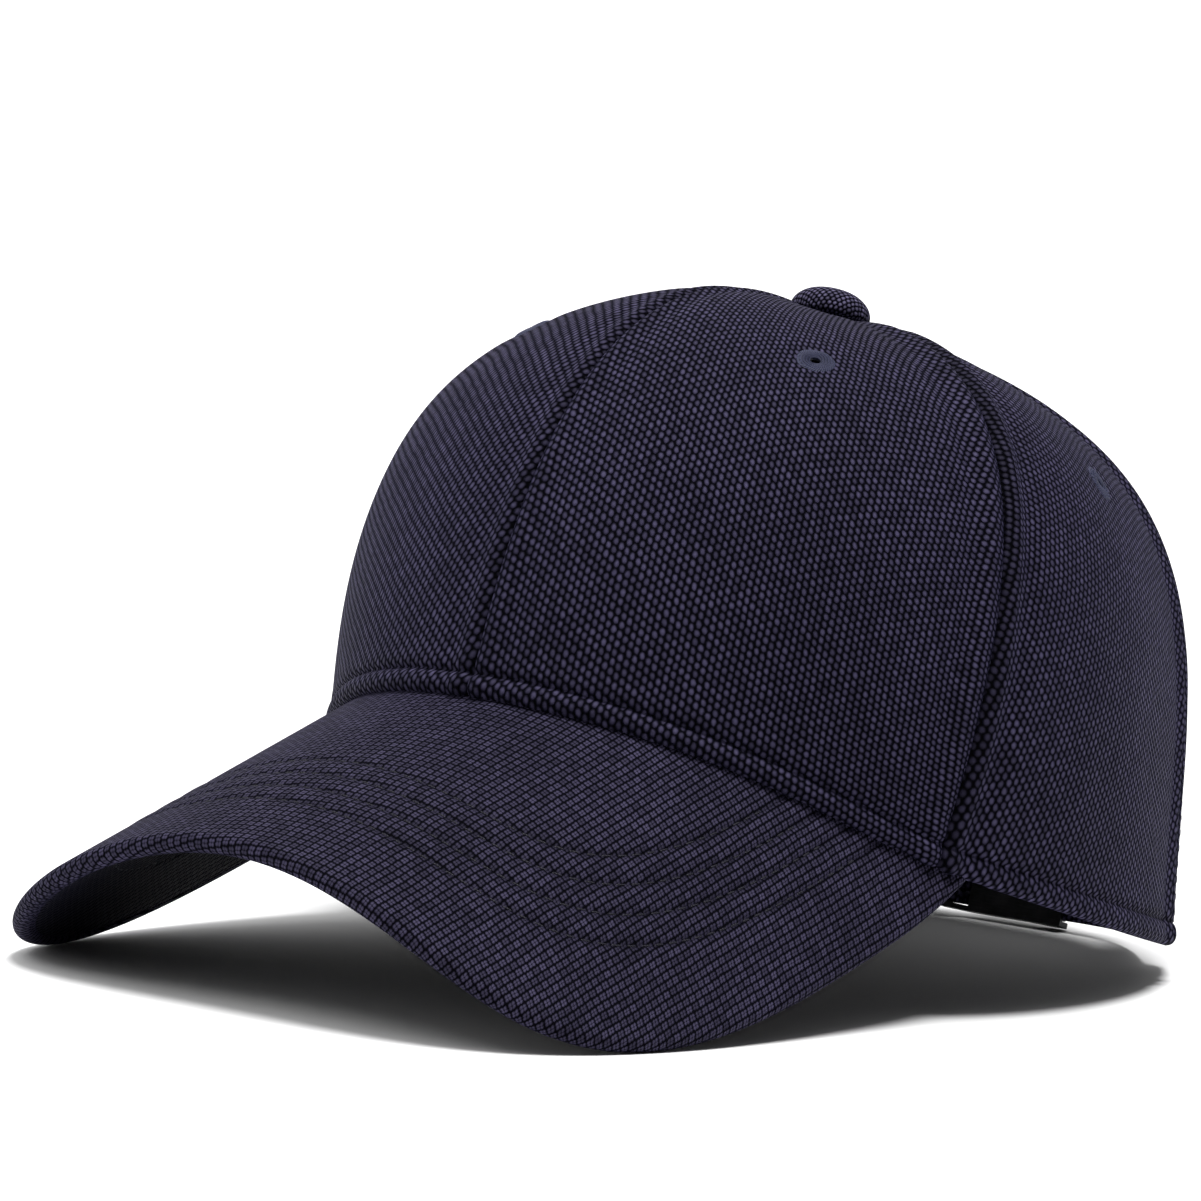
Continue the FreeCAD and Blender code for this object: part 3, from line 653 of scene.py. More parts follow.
EYELET_REACH = 3.85
WALL_RADIUS = 75.0
# the parts of the endless cloth that the panels are cut from, so that no two are alike
SIDE_SHIFT = 300.0
PANEL_SHIFTS = {"front": 0.0, "side": 37.0, "rear": 74.0}


def low_border(first, last, rear):
    """Lower border of a panel from seam to seam, as (share of width, angle, t)."""
    if not rear:
        phi = np.linspace(first, last, BORDER_POINTS)
        return np.linspace(0, 1, BORDER_POINTS), phi, hem_t(phi)
    corner = bisect(lambda p: ARCH_HALF_WIDTH - crown(p, 0.0)[..., 0], pi / 2, pi, 0.0)
    hem = np.linspace(first, corner, HEM_POINTS)
    a = np.linspace(0, pi / 2, BORDER_POINTS)[1:]
    phi, t = wall_above(ARCH_HALF_WIDTH * np.cos(a), ARCH_HEIGHT * np.sin(a), 0.0)
    phi, t = np.concatenate((hem, phi)), np.concatenate((np.zeros(HEM_POINTS), t))
    run = run_of(crown(phi, t))
    return run / run[-1], phi, t


def groove(d, swell):
    """Seam: the edge turns in beside a ridge over the pressed allowance, with a dip beyond it."""
    ridge = swell * hump(d, 2.6, 1.5) - 0.45 * swell * hump(d, 6.4, 1.8)
    return rounded(d, 1.0 + 0.7 * swell, 0.90) - ridge


def hem_relief(arc, phi):
    """Rolled lower edge and the stitch line that holds it."""
    over_visor = 1 / (1 + np.exp((np.abs(phi) - CORNER) / radians(3)))
    bulge = 0.60 + 0.45 * over_visor
    roll = np.where(arc < 4.3, np.sin(pi * np.clip(arc / 4.3, 0, 1)) ** 0.8, 0.0)
    line = (0.45 + 0.35 * over_visor) * hump(arc, 4.7, 0.50)
    return rounded(arc, 1.6, 0.90) - bulge * roll + line - 0.15 * hump(arc, 6.8, 1.2)


def unevenness(phi, t):
    """The slow waves of real cloth over its stiffening."""
    wave = 0.20 * np.sin(3.1 * phi + 7.0 * t + 0.4) + 0.14 * np.sin(7.3 * phi - 9.0 * t + 1.9)
    wave = wave + 0.09 * np.sin(13.0 * phi + 17.0 * t + 0.7) * np.sin(11.0 * t + 2.0)
    return wave * np.sin(pi * np.clip(t * 1.15, 0, 1)) ** 0.8


def flat_pattern(phi, t, middle):
    """Place in mm on the panel laid flat: across from its centre line, and up along it."""
    table = np.linspace(0, 0.995, 400)
    height = run_of(crown(middle, table))

    def spread(angle, level):
        step = crown(angle + SMALL, level) - crown(angle - SMALL, level)
        return np.linalg.norm(step / (2 * SMALL), axis=-1)

    taper = -np.gradient(spread(middle, table), height) / spread(middle, table)
    taper = np.interp(t, table, np.where(np.abs(taper) < 1e-5, 1e-5, taper))
    steps = 32
    pace = sum(spread(middle + (phi - middle) * (k + 0.5) / steps, t) for k in range(steps)) / steps
    turn = taper * pace * (phi - middle)
    up = np.interp(t, table, height) + (1 - np.cos(turn)) / taper
    return vec(np.sin(turn) / taper, up)


def turned(flat, angle):
    """The same pattern cut from cloth lying at an angle."""
    return flat @ np.array(((cos(angle), sin(angle)), (-sin(angle), cos(angle))))


def drilled(obj, place, normal, radius=HOLE, sides=24, reach=7):
    """Punches the eyelet's hole."""
    mesh = bpy.data.meshes.new("punch")
    ring = np.arange(sides) * 2 * pi / sides
    side = unit(np.cross(normal, (0.3, 0.2, 1.0)))
    other = np.cross(normal, side)
    circle = place + radius * (side * np.cos(ring)[:, None] + other * np.sin(ring)[:, None])
    verts = placed(np.concatenate((circle - normal * reach, circle + normal * reach)))
    faces = [[k, (k + 1) % sides, sides + (k + 1) % sides, sides + k] for k in range(sides)]
    faces += [list(range(sides - 1, -1, -1)), list(range(sides, 2 * sides))]
    mesh.from_pydata(verts.tolist(), [], faces)
    punch = linked("punch", mesh)
    cut = obj.modifiers.new("hole", "BOOLEAN")
    cut.operation = "DIFFERENCE"
    cut.solver = "EXACT"
    cut.object = punch
    bpy.context.view_layer.update()
    evaluated = obj.evaluated_get(bpy.context.evaluated_depsgraph_get())
    new = bpy.data.meshes.new_from_object(evaluated)
    old = obj.data
    obj.modifiers.clear()
    obj.data = new
    bpy.data.meshes.remove(old)
    bpy.data.objects.remove(punch)
    bpy.data.meshes.remove(mesh)


def buckram(side, label, first, last, spot, out):
    """Stiffening behind a front panel."""
    columns, rows = 60, 80
    phi = np.linspace(first + 0.02, last - 0.02, columns)[:, None]
    low = hem_t(phi, 1.2, 2.0)
    high = t_at_radius(phi, 14.0)
    t = low + (high - low) * np.linspace(0, 1, rows)[None, :]
    phi = np.broadcast_to(phi, t.shape)
    front, back = sided(side, crown_at(phi, t, 1.12), crown_at(phi, t, 1.88))
    obj = shell("buckram_" + label, front, back, flat_pattern(phi, t, (first + last) / 2), BUCKRAM,
                "buckram", ["buckram_front_" + label], turn=side == -1)
    drilled(obj, spot, out)


def panel(which, first, last):
    """Both panels of one kind, between two seams, with their eyelets and any buckram."""
    middle = (first + last) / 2
    border_s, border_phi, border_t = low_border(first, last, which == "rear")

    def at(s, w):
        lead = 1 - (1 - w) ** 2 if which == "rear" else 1.0
        phi_low = np.interp(s, border_s, border_phi)
        t_low = np.interp(s, border_s, border_t)
        phi = phi_low + (first + (last - first) * s - phi_low) * lead
        high = t_at_radius(phi, TOP_HOLE)
        return phi, t_low + (high - t_low) * w

    table = np.linspace(0, 1, 300)
    climb = run_of(crown(*at(np.full(300, 0.5), table)))
    arcs = np.concatenate((LOW_ROWS, np.linspace(LOW_ROWS[-1] + 1, climb[-1], HIGH_ROWS)))
    w = np.interp(arcs, climb, table)[None, :]
    s = np.linspace(0, 1, 60)[:, None]
    width = run_of(crown(*at(*np.broadcast_arrays(s, w))))[-1]
    near = NEAR[:, None] * np.minimum(1.0, width / NARROW_COLUMNS)
    inner = np.linspace(0, 1, FULL_COLUMNS + 2)[1:-1, None] * (width - 2 * near[-1]) + near[-1]
    d = np.concatenate((near, inner, width - near[::-1]))
    s = d / width
    w = np.broadcast_to(w, s.shape)
    phi, t = at(s, w)
    arc = run_of(np.swapaxes(crown(phi, t), 0, 1)).T
    tight = np.minimum(1.0, width / NARROW_RELIEF)
    relief = groove(d / tight, SEAM_SWELL[first]) + groove((width - d) / tight, SEAM_SWELL[last])
    relief = np.where(relief > 0, relief * np.maximum(tight, 0.5), relief * tight ** 1.5)
    hem = hem_relief(arc, phi)
    if which == "rear":
        hem = hem * np.clip((border_s[HEM_POINTS - 1] - s) / 0.01, 0, 1)
    calm = np.clip(d / 8, 0, 1) * np.clip((width - d) / 8, 0, 1)
    relief = relief + hem + unevenness(phi, t) * calm
    # painted shade along both seams of the panel, stronger and wider on the first seam's side
    groove_shade = SEAM_SWELL[first] * hump(d, 0, 3.2) + 0.6 * SEAM_SWELL[last] * hump(width - d, 0, 1.2)
    eye_phi, eye_t = EYELETS[which]
    place, normal = crown(eye_phi, eye_t), crown_normal(eye_phi, eye_t)
    away = np.linalg.norm(crown(phi, t) - place, axis=-1)
    relief = relief + 0.30 * np.exp(-(away / 5.5) ** 4)
    relief = np.minimum(relief, CLOTH_DEPTH - THINNEST)
    outer = crown_at(phi, t, relief)
    inner = crown_at(phi, t, np.maximum(CLOTH_DEPTH, relief + THINNEST))
    uv = flat_pattern(phi, t, middle)
    if which == "side":
        uv = turned(uv, SIDE_GRAIN)
    for side, label in SIDES:
        flat = uv + np.array((SIDE_SHIFT * (1 + side), 0)) + np.array((PANEL_SHIFTS[which], 0))
        flat = flat * np.array((side, 1.0))
        if (which, side) == ("front", -1):
            flat = turned(flat, FAR_GRAIN)
        tag = "%s_%s" % (which, label)
        obj = shell("crown_panel_" + tag, *sided(side, outer, inner), flat, CROWN_CLOTH,
                    "crown_fabric", ["panel_" + tag], turn=side == -1, groove_shade=groove_shade)
        spot, out = sided(side, place, normal)
        drilled(obj, spot, out)
        eyelet("eyelet_ring_" + tag, spot, out, "eyelet_" + tag)
        if which == "front":
            buckram(side, label, first, last, spot, out)


def eyelet(name, place, normal, node):
    """Embroidered ring: radial satin stitches over a raised edge round the hole."""
    threads, per = 46, 4
    count = threads * per
    a = np.arange(count) * 2 * pi / count
    side = unit(np.cross(np.array((0.0, 0.0, 1.0)), normal))
    other = np.cross(normal, side)
    share = np.linspace(0, 1, 12)
    reach = EYELET_REACH + 0.16 * np.repeat(random.uniform(-1, 1, threads), per)
    radius = 1.0 + (reach[None, :] - 1.0) * share[:, None]
    strand = np.abs(np.sin(a * threads / 2))[None, :] ** 0.8
    arch = np.sin(pi * np.clip(share * 0.93 + 0.07, 0, 1))[:, None] ** 0.55
    height = -0.38 + 0.50 * arch + 0.14 * strand * arch
    inside = np.array(((1.25, -0.9), (1.05, -0.5), (0.98, -0.1)))
    inside_r, inside_h = (np.broadcast_to(inside[:, k:k + 1], (3, count)) for k in range(2))
    profile_r = np.concatenate((inside_r, radius, reach[None] * 0.98))
    profile_h = np.concatenate((inside_h, height, np.full((1, count), -0.5)))
    sag = profile_r ** 2 / (2 * WALL_RADIUS)
    across = side * (profile_r * np.cos(a))[..., None] + other * (profile_r * np.sin(a))[..., None]
    points = place + across + normal * (profile_h - sag - 0.12)[..., None]
    n, m = points.shape[:2]
    i, j = np.meshgrid(np.arange(n), np.arange(m), indexing="ij")
    after, up = (j + 1) % m, (i + 1) % n * m
    faces = np.stack((up + j, up + after, i * m + after, i * m + j), -1).reshape(-1, 4)
    uvs = vec(profile_r, a * 3.0).reshape(-1, 2)
    show(name, points.reshape(-1, 3), faces.tolist(), uvs, EYELET_THREAD, [node], 70)


for which, first, last in zip(("front", "side", "rear"), SEAMS[:-1], SEAMS[1:]):
    panel(which, first, last)


# ---- seam tapes ------------------------------------------------------------------------------
TAPE_HALF = 9.0


def tape(name, node, seam, depth, low_t, mirrored):
    rows, columns = 90, 15
    high = float(t_at_radius(np.array(seam), 10.5))
    t = np.linspace(float(low_t), high, rows)
    radius = np.hypot(crown(seam, t)[:, 0], crown(seam, t)[:, 1] - BUTTON_BACK)
    half = np.minimum(TAPE_HALF / radius, radians(25))
    across = np.linspace(-1, 1, columns)[:, None]
    phi = seam + across * half[None, :]
    t2 = np.broadcast_to(t[None], phi.shape)
    puff = rounded(TAPE_HALF * (1 - np.abs(across)), 1.0, 0.22) - 0.14 * hump(across, 0, 0.3)
    puff = puff - 0.10 * hump(np.abs(across), 0.72, 0.09)
    a = crown_at(phi, t2, depth)
    b = crown_at(phi, t2, depth + 0.58 - puff * 0.6)
    arc = run_of(np.swapaxes(a, 0, 1))[:, columns // 2]
    uv = vec(across * TAPE_HALF, arc[None, :])
    keep = slice(2, rows - 4)
    paths = [(b[edge, keep], -crown_normal(phi[edge, keep], t2[edge, keep]))
             for edge in (2, columns - 3)]
    for side, label in SIDES if mirrored else ((1, ""),):
        tag = "_" + label if label else ""
        shell(name + tag, *sided(side, a, b), uv, TAPE, "seam_tape", [node + tag], turn=side == -1)
        stitches(name + "_thread" + tag, [sided(side, *path) for path in paths], THREAD)


FRONT_LINING, REAR_LINING = 2.02, 1.12
tape("inside_tape_front", "seam_tape_front", 0.0, FRONT_LINING, hem_t(0.0, 2.0, 2.0), False)
tape("inside_tape_side", "seam_tape_side", SEAMS[1], FRONT_LINING, hem_t(SEAMS[1], 2.0, 2.0), True)
tape("inside_tape_rear", "seam_tape_rear", SEAMS[2], REAR_LINING, hem_t(SEAMS[2], 1.1, 2.0), True)
tape("inside_tape_center", "seam_tape_center", pi, REAR_LINING,
     t_at_height(pi, ARCH_HEIGHT + 5.0, 1.1), False)


# ---- button ----------------------------------------------------------------------------------
BUTTON_RADIUS = 7.7
BUTTON_SEAT = 0.55
BUTTON_RIM = 1.25
BUTTON_RISE = 4.8
BUTTON_TUCK = 1.5


def button():
    """Cloth gathered over a domed core, its rim drawn in underneath."""
    count = 120
    a = np.arange(count) * 2 * pi / count
    share = np.linspace(0.0, 1.0, 30)
    rise = np.concatenate((np.linspace(pi / 2, -0.15, 26), (-0.45, -0.8, -1.1)))
    r = BUTTON_RADIUS * np.abs(np.cos(rise)) ** 0.85
    r[-3:] = (7.3, 6.4, 5.4)
    z = BUTTON_SEAT + (BUTTON_RIM + np.where(rise > 0, BUTTON_RISE, BUTTON_TUCK) * np.sin(rise))
    pleat = np.clip((r - 6.2) / 1.5, 0, 1)[:, None] * 0.10 * np.sin(a * 26 + 0.7 * np.sin(a * 3))[None]
    r2, z2 = r[:, None] + pleat, z[:, None] - 0.3 * pleat
    points = np.array((0, BUTTON_BACK, CROWN_HEIGHT)) + vec(r2 * np.cos(a), r2 * np.sin(a), z2)
    n, m = points.shape[:2]
    flat = np.concatenate(([0], np.cumsum(np.hypot(np.diff(r), np.diff(z)))))
    uv = np.stack((flat[:, None] * np.cos(a), flat[:, None] * np.sin(a)), -1)
    i, j = np.meshgrid(np.arange(n - 2), np.arange(m), indexing="ij")
    after = (j + 1) % m
    faces = np.stack((i * m + j, (i + 1) * m + j, (i + 1) * m + after, i * m + after), -1)
    faces = faces.reshape(-1, 4).tolist()
    body = np.concatenate((points[1:].reshape(-1, 3), points[0, :1]))
    top, last = len(body) - 1, (n - 2) * m
    faces += [[top, k, (k + 1) % m] for k in range(m)]
    faces.append([last + k for k in range(m - 1, -1, -1)])
    uvs = np.concatenate((uv.reshape(-1, 2)[m:], uv[0, :1])) * 1.35 + 500.0
    # the button uses the lighter copy of the crown cloth, which carries a painted highlight
    show("button_cloth", body, faces, uvs, BUTTON_CLOTH_LIT, ["button_cover"], 80)


button()


# ---- sweatband -------------------------------------------------------------------------------
def sweatband():
    columns, rows = 260, 34
    phi = np.linspace(-BAND_END, BAND_END, columns)
    base = crown_at(phi, hem_t(phi, BAND_DEPTH, 0.6), BAND_DEPTH)[:, 2]
    grids = []
    height = np.concatenate((np.array((0, 0.15, 0.4, 0.8, 1.4, 2.2, 3.0, 3.4, 3.8, 4.2, 4.8, 6.0)),
                             np.linspace(7.5, BAND_HEIGHT - 1.2, rows - 15),
                             np.array((31.2, 31.7, 32.0))))
    edge = np.minimum(height, BAND_HEIGHT - height)
    turn = rounded(edge, 0.7, 0.55)
    line = 0.28 * hump(height, 3.4, 0.5) + 0.12 * np.sin(height * 0.2) ** 2
    wave = 0.12 * np.sin(phi * 17.0)[:, None] * np.sin(pi * height / BAND_HEIGHT)[None]
    for depth, drop in ((BAND_DEPTH, turn[None, :]),
                        (BAND_DEPTH + BAND_THICK, (-turn - line)[None, :] + wave)):
        t = np.stack([t_at_height(phi, base + h, depth) for h in height], 1)
        grids.append(crown_at(np.broadcast_to(phi[:, None], t.shape), t, depth + drop))
    outer, inner = grids
    run = run_of(outer[:, 10])
    uv = vec(run[:, None], height[None])
    shell("sweatband_cloth", outer, inner, uv, LINING, "sweatband_cloth", ["sweatband"])
    lines = []
    for k in (7, rows - 4):
        normal = unit(np.cross(np.gradient(inner[:, k], axis=0), np.array((0.0, 0.0, 1.0))))
        lines.append((inner[:, k], -normal))
    stitches("sweatband_thread", lines, THREAD)


sweatband()


# ---- visor -----------------------------------------------------------------------------------
STITCH_ROWS = (18.5, 24.5, 30.5, 36.5)


def visor_ends(u):
    phi = np.abs(u) * CORNER
    p = crown_at(phi, hem_t(phi), 2.7)
    s0, g0 = unrolled(p[..., 0], p[..., 1])
    end = edge_at(np.abs(u))
    start = vec(s0, g0)
    way = end - start
    way = way / np.linalg.norm(way, axis=-1, keepdims=True)
    sign = vec(np.where(u < 0, -1.0, 1.0), 1.0)
    return start * sign, end * sign, way * sign


def channels(s, g):
    """Sewn rows pressed into the cover."""
    d = edge_distance(s, g)
    dip = sum(0.36 * hump(d, row, 0.7) for row in STITCH_ROWS)
    swell = sum(0.10 * hump(d, row + 3.0, 1.6) for row in STITCH_ROWS[:-1])
    return dip - swell


def visor_pieces():
    columns, rows = 300, 110
    u = np.linspace(-1, 1, columns)
    start, end, way = visor_ends(u)
    middle = VISOR_THICK / 2
    grids = []
    w = np.linspace(0, 1, rows)[None, :, None]
    for radius in (middle, middle - COVER_THICK):
        stop = end - way * middle
        flat = start[:, None] + (stop - start)[:, None] * w
        s, g = flat[..., 0], flat[..., 1]
        dip = channels(s, g) if radius == middle else 0.0
        top = visor(s, g, middle - radius + dip)[0]
        a = np.linspace(0, pi, 15)[1:]
        out = stop[:, None] + way[:, None] * (radius * np.sin(a))[None, :, None]
        rim = visor(out[..., 0], out[..., 1], middle - radius * np.cos(a))[0]
        tuck = stop[:, None] - way[:, None] * np.linspace(0.3, 0.9, 3)[None, :, None]
        back = visor(tuck[..., 0], tuck[..., 1], middle + radius)[0]
        grids.append(np.concatenate((top, rim, back), 1))
        if radius == middle:
            d = edge_distance(s, g)
            # painted shade along the channels of the sewn rows in the top cover
            groove_shade = np.zeros(grids[0].shape[:2])
            groove_shade[:, :rows] = sum(0.9 * hump(d, row, 0.8) for row in STITCH_ROWS)
            arc = middle * np.linspace(0, pi, 15)[1:]
            rim_uv = stop[:, None] + way[:, None] * arc[None, :, None]
            back_arc = arc[-1] + np.linspace(0.3, 0.9, 3)
            back_uv = stop[:, None] + way[:, None] * back_arc[None, :, None]
            uv = np.concatenate((flat, rim_uv, back_uv), 1)
    # rows run across the visor from the wearer's right to left, columns toward the free edge
    shell("visor_top_cloth", *grids, uv, VISOR_CLOTH, "visor_fabric", ["visor_cover_top"],
          turn=True, groove_shade=groove_shade)

    stop = end - way * (middle + 0.95)
    v = np.linspace(0, 1, 70)
    flat = start[:, None] + (stop - start)[:, None] * v[None, :, None]
    s, g = flat[..., 0], flat[..., 1]
    from_edge = v[None, ::-1] * np.linalg.norm(stop - start, axis=-1)[:, None]
    lower = visor(s, g, VISOR_THICK - 0.7 * channels(s, g) - rounded(from_edge, 0.8, 0.3))[0]
    upper = visor(s, g, VISOR_THICK - COVER_THICK + 0.1)[0]
    shell("visor_under_cloth", upper, lower, flat + 400.0, UNDER_CLOTH, "visor_fabric",
          ["visor_cover_under"], turn=True)

    for label, sign, depth in (("top", 1, 0.40), ("under", -1, VISOR_THICK - 0.32)):
        paths = []
        for line in map(stitch_line, STITCH_ROWS):
            p, normal = visor(line[:, 0], line[:, 1], depth)
            paths.append((p, normal * sign))
        stitches("visor_thread_" + label, paths, VISOR_THREAD, pitch=3.0,
                 length=2.35, radius=0.18, lift=0.05)


def stitch_line(distance):
    """Flat path a set distance inside the free edge, ended where the crown covers it."""
    way = np.gradient(EDGE, axis=0)
    inward = unit(np.stack((way[:, 1], -way[:, 0]), -1))
    line = EDGE + inward * distance
    line = line[(edge_distance(line[:, 0], line[:, 1]) > distance - 0.05) & (line[:, 0] > 0)]
    line[0, 0] = 0.0
    p = visor(line[:, 0], line[:, 1], 0.0)[0]
    angle = np.arctan2(p[:, 0] / EDGE_HALF_WIDTH, -p[:, 1] / EDGE_FRONT)
    hem = crown(angle, hem_t(angle))
    outside = np.hypot(p[:, 0], p[:, 1]) > np.hypot(hem[:, 0], hem[:, 1]) + 2.0
    line = line[outside]
    return np.concatenate((line[:0:-1] * np.array((-1, 1)), line))


visor_pieces()


# ---- binding of the rear opening -------------------------------------------------------------
def binding():
    columns = 150
    a = np.linspace(0.02, pi - 0.02, columns)
    nx, nz = np.cos(a) * ARCH_HEIGHT, np.sin(a) * ARCH_HALF_WIDTH
    size = np.hypot(nx, nz)
    grids = []
    bend = np.linspace(0, pi, 13)[1:-1]
    legs = np.linspace(4.0, 0.1, 14)
    for radius in (1.25, 0.75):
        d = np.concatenate((legs, 0.1 - radius * np.sin(bend), np.linspace(0.1, 4.0, 14)))
        e = np.concatenate((np.full(14, -radius), -radius * np.cos(bend), np.full(14, radius)))
        leg = np.clip((4.0 - d) / 0.5, 0, 1)
        if radius > 1:
            e = e * (0.62 + 0.38 * np.sqrt(leg)) - np.sign(e) * 0.25 * hump(d, 2.9, 0.35)
        x = ARCH_HALF_WIDTH * np.cos(a)[:, None] + (nx / size)[:, None] * d
        z = ARCH_HEIGHT * np.sin(a)[:, None] + (nz / size)[:, None] * d
        depth = np.broadcast_to(0.5 + e, x.shape)
        phi, t = wall_above(x, z, depth)
        grids.append(crown_at(phi, t, depth))
        if radius > 1:
            across = np.cumsum(np.hypot(np.gradient(d), np.gradient(e)))
            run = run_of(grids[0][:, 14])
            uv = vec(run[:, None], across[None])
            stitch = (grids[0][:, 4], crown_normal(phi[:, 4], t[:, 4]))
    shell("opening_tape", *grids, uv, BINDING, "binding_cloth", ["opening_binding"], turn=True)
    stitches("opening_thread", [stitch], THREAD, radius=0.22)


binding()


# ---- strap -----------------------------------------------------------------------------------
def strap_half(z, depth_out, straight, offset):
    """Centre line on the +X side at one height: sewn end, sweep, straight part at the buckle."""
    a = np.linspace(STRAP_ENDS[0], STRAP_ENDS[1], 6)
    points = crown_at(a, t_at_height(a, z - STRAP_DROP, depth_out), depth_out)
    start = points[-1]
    way = start - points[-2]
    way[2] = 0
    way = unit(way)
    goal = np.array((straight, STRAP_Y + offset, z))
    reach = np.linalg.norm(goal - start)
    sweep = hermite(start, way * reach, goal, np.array((-1.0, 0, 0)) * reach,
                    np.linspace(0, 1, 9)[1:, None])
    return np.concatenate((points, sweep))


def smooth_run(points, count):
    """The same line resampled evenly through a smooth cubic."""
    run = run_of(points)
    at = np.linspace(0, run[-1], count)
    slopes = np.gradient(points, run, axis=0)
    i = np.clip(np.searchsorted(run, at) - 1, 0, len(run) - 2)
    h = (run[i + 1] - run[i])[:, None]
    v = (at - run[i])[:, None] / h
    return hermite(points[i], h * slopes[i], points[i + 1], h * slopes[i + 1], v)


def strap(name, node, lines, round_end):
    """Folded self-fabric strap with a row of stitching near each edge."""
    count = 150
    rows = np.array((0, 0.12, 0.35, 0.7, 1.2, 1.7, 2.1, 2.4, 2.7, 3.1, 3.7, 5.0, 7.0, 9.0, 11.0))
    heights = np.concatenate((rows, STRAP_WIDTH - rows[-2::-1]))
    smooth = np.stack([smooth_run(line, count) for line in lines], 1)
    given = np.linspace(0, STRAP_WIDTH, smooth.shape[1])
    centre = np.array([[np.interp(heights, given, smooth[i, :, k]) for k in range(3)]
                       for i in range(count)]).swapaxes(1, 2)
    way = np.gradient(centre, axis=0)
    side = unit(np.stack((way[..., 1], -way[..., 0], np.zeros(way.shape[:2])), -1))
    side = side * np.where(side[..., 1:2] < 0, -1, 1)
    edge = np.minimum(heights, STRAP_WIDTH - heights)
    half = STRAP_THICK / 2 - rounded(edge, 0.7, 0.28) - 0.14 * hump(edge, 2.4, 0.35)
    run = run_of(centre[:, 14])
    ends = np.minimum(run, run[-1] - run)
    if round_end:
        ends = run[-1] - run
    half = half[None, :] - rounded(ends, 0.7, 0.2)[:, None]
    outer, inner = centre + side * half[..., None], centre - side * half[..., None]
    uv = vec(run[:, None], heights[None]) + 200.0
    shell(name, outer, inner, uv, CROWN_CLOTH, "strap_cloth", [node], turn=name == "strap_long")
    paths = []
    for k in (7, len(heights) - 8):
        paths.append((outer[4:-4, k], side[4:-4, k]))
        paths.append((inner[4:-4, k], -side[4:-4, k]))
    stitches(name + "_thread", paths, THREAD)


TAIL_GAP = 1.75  # between the tail's free end and the anchor side under it
BAR_CLEARANCE = 3.2
LOOP_RADIUS = 1.55
strap_heights = np.linspace(STRAP_LOW, STRAP_LOW + STRAP_WIDTH, 4)
tail, anchor = [], []
for z in strap_heights:
    own = strap_half(z, STRAP_DEPTH, STRAIGHT_HALF, 0.0)
    other = mirror(strap_half(z, STRAP_DEPTH - TAIL_GAP - STRAP_THICK, STRAIGHT_HALF + 1.0, 0.0))
    middle = np.array([(x, STRAP_Y, z) for x in (10.0, 0.0, -10.0)])
    tail.append(np.concatenate((own, middle, other[:7:-1])))
    base = mirror(strap_half(z, STRAP_DEPTH, -BAR_X + BAR_CLEARANCE, BAR_SHIFT))
    bar = np.array([(BAR_X, STRAP_Y + BAR_SHIFT, z)])
    a = np.linspace(0.65, 2 * pi - 1.5, 12)[:, None]
    loop = bar + LOOP_RADIUS * np.concatenate((-np.cos(a), -np.sin(a), 0 * a), 1)
    anchor.append(np.concatenate((base[:-1], loop)))
strap("strap_long", "strap_tail", tail, True)
strap("strap_short", "strap_anchor", anchor, False)

# ---- carried-over hard pieces ----------------------------------------------------------------
for node, material in (("buckle_frame", METAL), ("buckle_pin", METAL), ("buckle_lever", METAL),
                       ("button_core", METAL), ("button_backing", ZINC), ("visor_board", BOARD)):
    obj = frame["nodes"][node]
    obj.data.materials.clear()
    obj.data.materials.append(material)

# ---- floor, light and camera -----------------------------------------------------------------
FLOOR_Z = -0.00005  # metres, just clear of the lowest cloth
FLOOR_HALF = 80  # metres, so that no edge shows
floor_mesh = bpy.data.meshes.new("floor")
turns = ((-1, -1), (1, -1), (1, 1), (-1, 1))
corners = [(x * FLOOR_HALF, y * FLOOR_HALF, FLOOR_Z) for x, y in turns]
floor_mesh.from_pydata(corners, [], [(0, 1, 2, 3)])
floor = linked("floor", floor_mesh)
paper = Nodes("white_paper")
grain = paper.noise(paper.add("ShaderNodeTexCoord")["Object"], 700.0, 2.0)
floor.data.materials.append(paper.finish((0.92, 0.92, 0.92), 0.85, grain, 0.00003, 0.3))

BACKDROP = (-0.86, 0.27, 0.43)
world = bpy.data.worlds.new("studio")
bpy.context.scene.world = world
world.use_nodes = True


def sky_node(kind, values=(), **settings):
    return add_node(world.node_tree, kind, values, **settings)


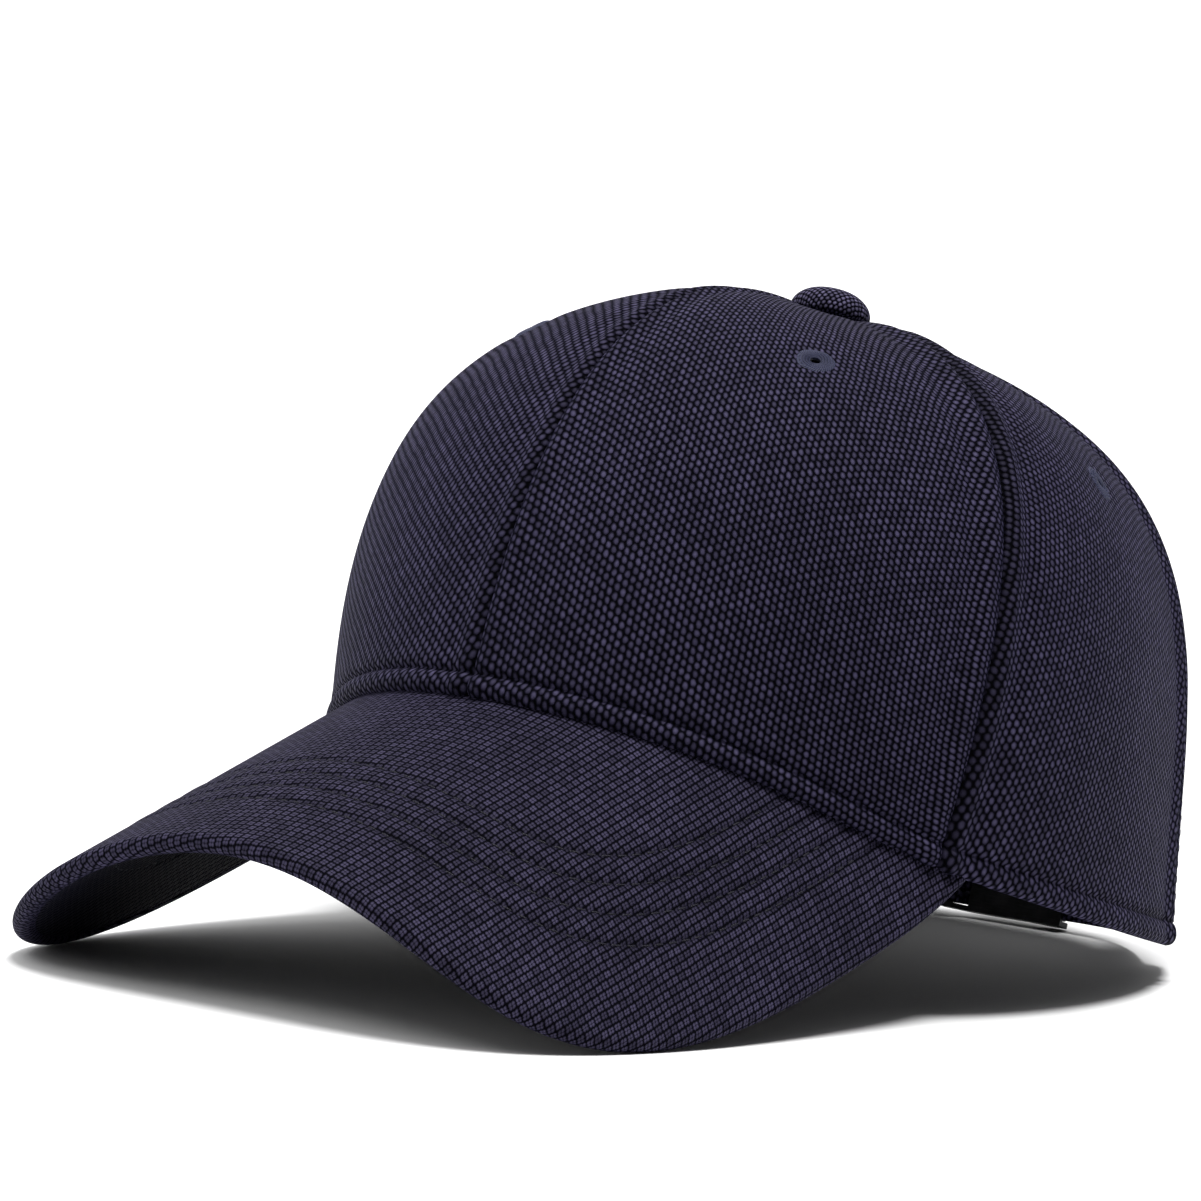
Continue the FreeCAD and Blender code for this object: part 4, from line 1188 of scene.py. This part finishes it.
# the room's light is strongest from the lit backdrop behind the cap and to its left in the
# picture; the camera itself sees plain white
way = sky_node("ShaderNodeTexCoord")["Generated"]
facing = sky_node("ShaderNodeVectorMath", {0: way, 1: BACKDROP}, operation="DOT_PRODUCT")["Value"]
room = sky_node("ShaderNodeMapRange", {"Value": facing, "From Min": -0.2, "From Max": 1.0,
                                       "To Min": 0.045, "To Max": 0.95})[0]
seen = sky_node("ShaderNodeLightPath")["Is Camera Ray"]
level = sky_node("ShaderNodeMix", {0: seen, 2: room, 3: 1.0})[0]
sky = world.node_tree.nodes["Background"]
sky.inputs[0].default_value = (1, 1, 1, 1)
world.node_tree.links.new(level, sky.inputs[1])


def lamp(name, azimuth, elevation, strength, spread):
    """A distant soft light in that direction in degrees, azimuth 0 being in front of the cap."""
    light = bpy.data.lights.new(name, "SUN")
    light.energy = strength
    light.angle = radians(spread)
    a, e = radians(azimuth), radians(elevation)
    toward = Vector((sin(a) * cos(e), -cos(a) * cos(e), sin(e)))
    linked(name, light).rotation_euler = toward.to_track_quat("Z", "Y").to_euler()


lamp("overhead", 100, 83, 3.7, 24)
lamp("front_left", -35, 62, 0.68, 40)

# the camera fitted to the photo, in degrees, mm and pixels, for a cap tilted by FIT_TILT
AZIMUTH = radians(38.676)
ELEVATION = radians(5.009)
ROLL = radians(3.976)
DISTANCE = 1421.5
FOCAL = 7546.0
FIT_TILT = radians(13.6)
AIM = (-28.62, 42.56)
PHOTO_WIDTH = 1201
SENSOR = 36.0
right0 = np.array((cos(AZIMUTH), sin(AZIMUTH), 0))
back = np.array((sin(AZIMUTH) * cos(ELEVATION), -cos(AZIMUTH) * cos(ELEVATION), sin(ELEVATION)))
up0 = np.cross(back, right0)
right = right0 * cos(ROLL) + up0 * sin(ROLL)
up = up0 * cos(ROLL) - right0 * sin(ROLL)
centre = right * AIM[0] + np.array((0, 0, AIM[1]))
more = TILT - FIT_TILT
eye = (tip(centre + back * DISTANCE, more) + SHIFT) / 1000
axes = np.stack([tip(v, more) for v in (right, up, back)], 1)
camera = linked("camera", bpy.data.cameras.new("camera"))
camera.data.sensor_width = SENSOR
camera.data.lens = SENSOR * FOCAL / PHOTO_WIDTH
camera.data.clip_end = 200.0
matrix = Matrix(axes.tolist()).to_4x4()
matrix.translation = Vector(eye.tolist())
camera.matrix_world = matrix
bpy.context.scene.camera = camera
bpy.context.scene.view_settings.view_transform = "Standard"
bpy.context.scene.view_settings.look = "None"
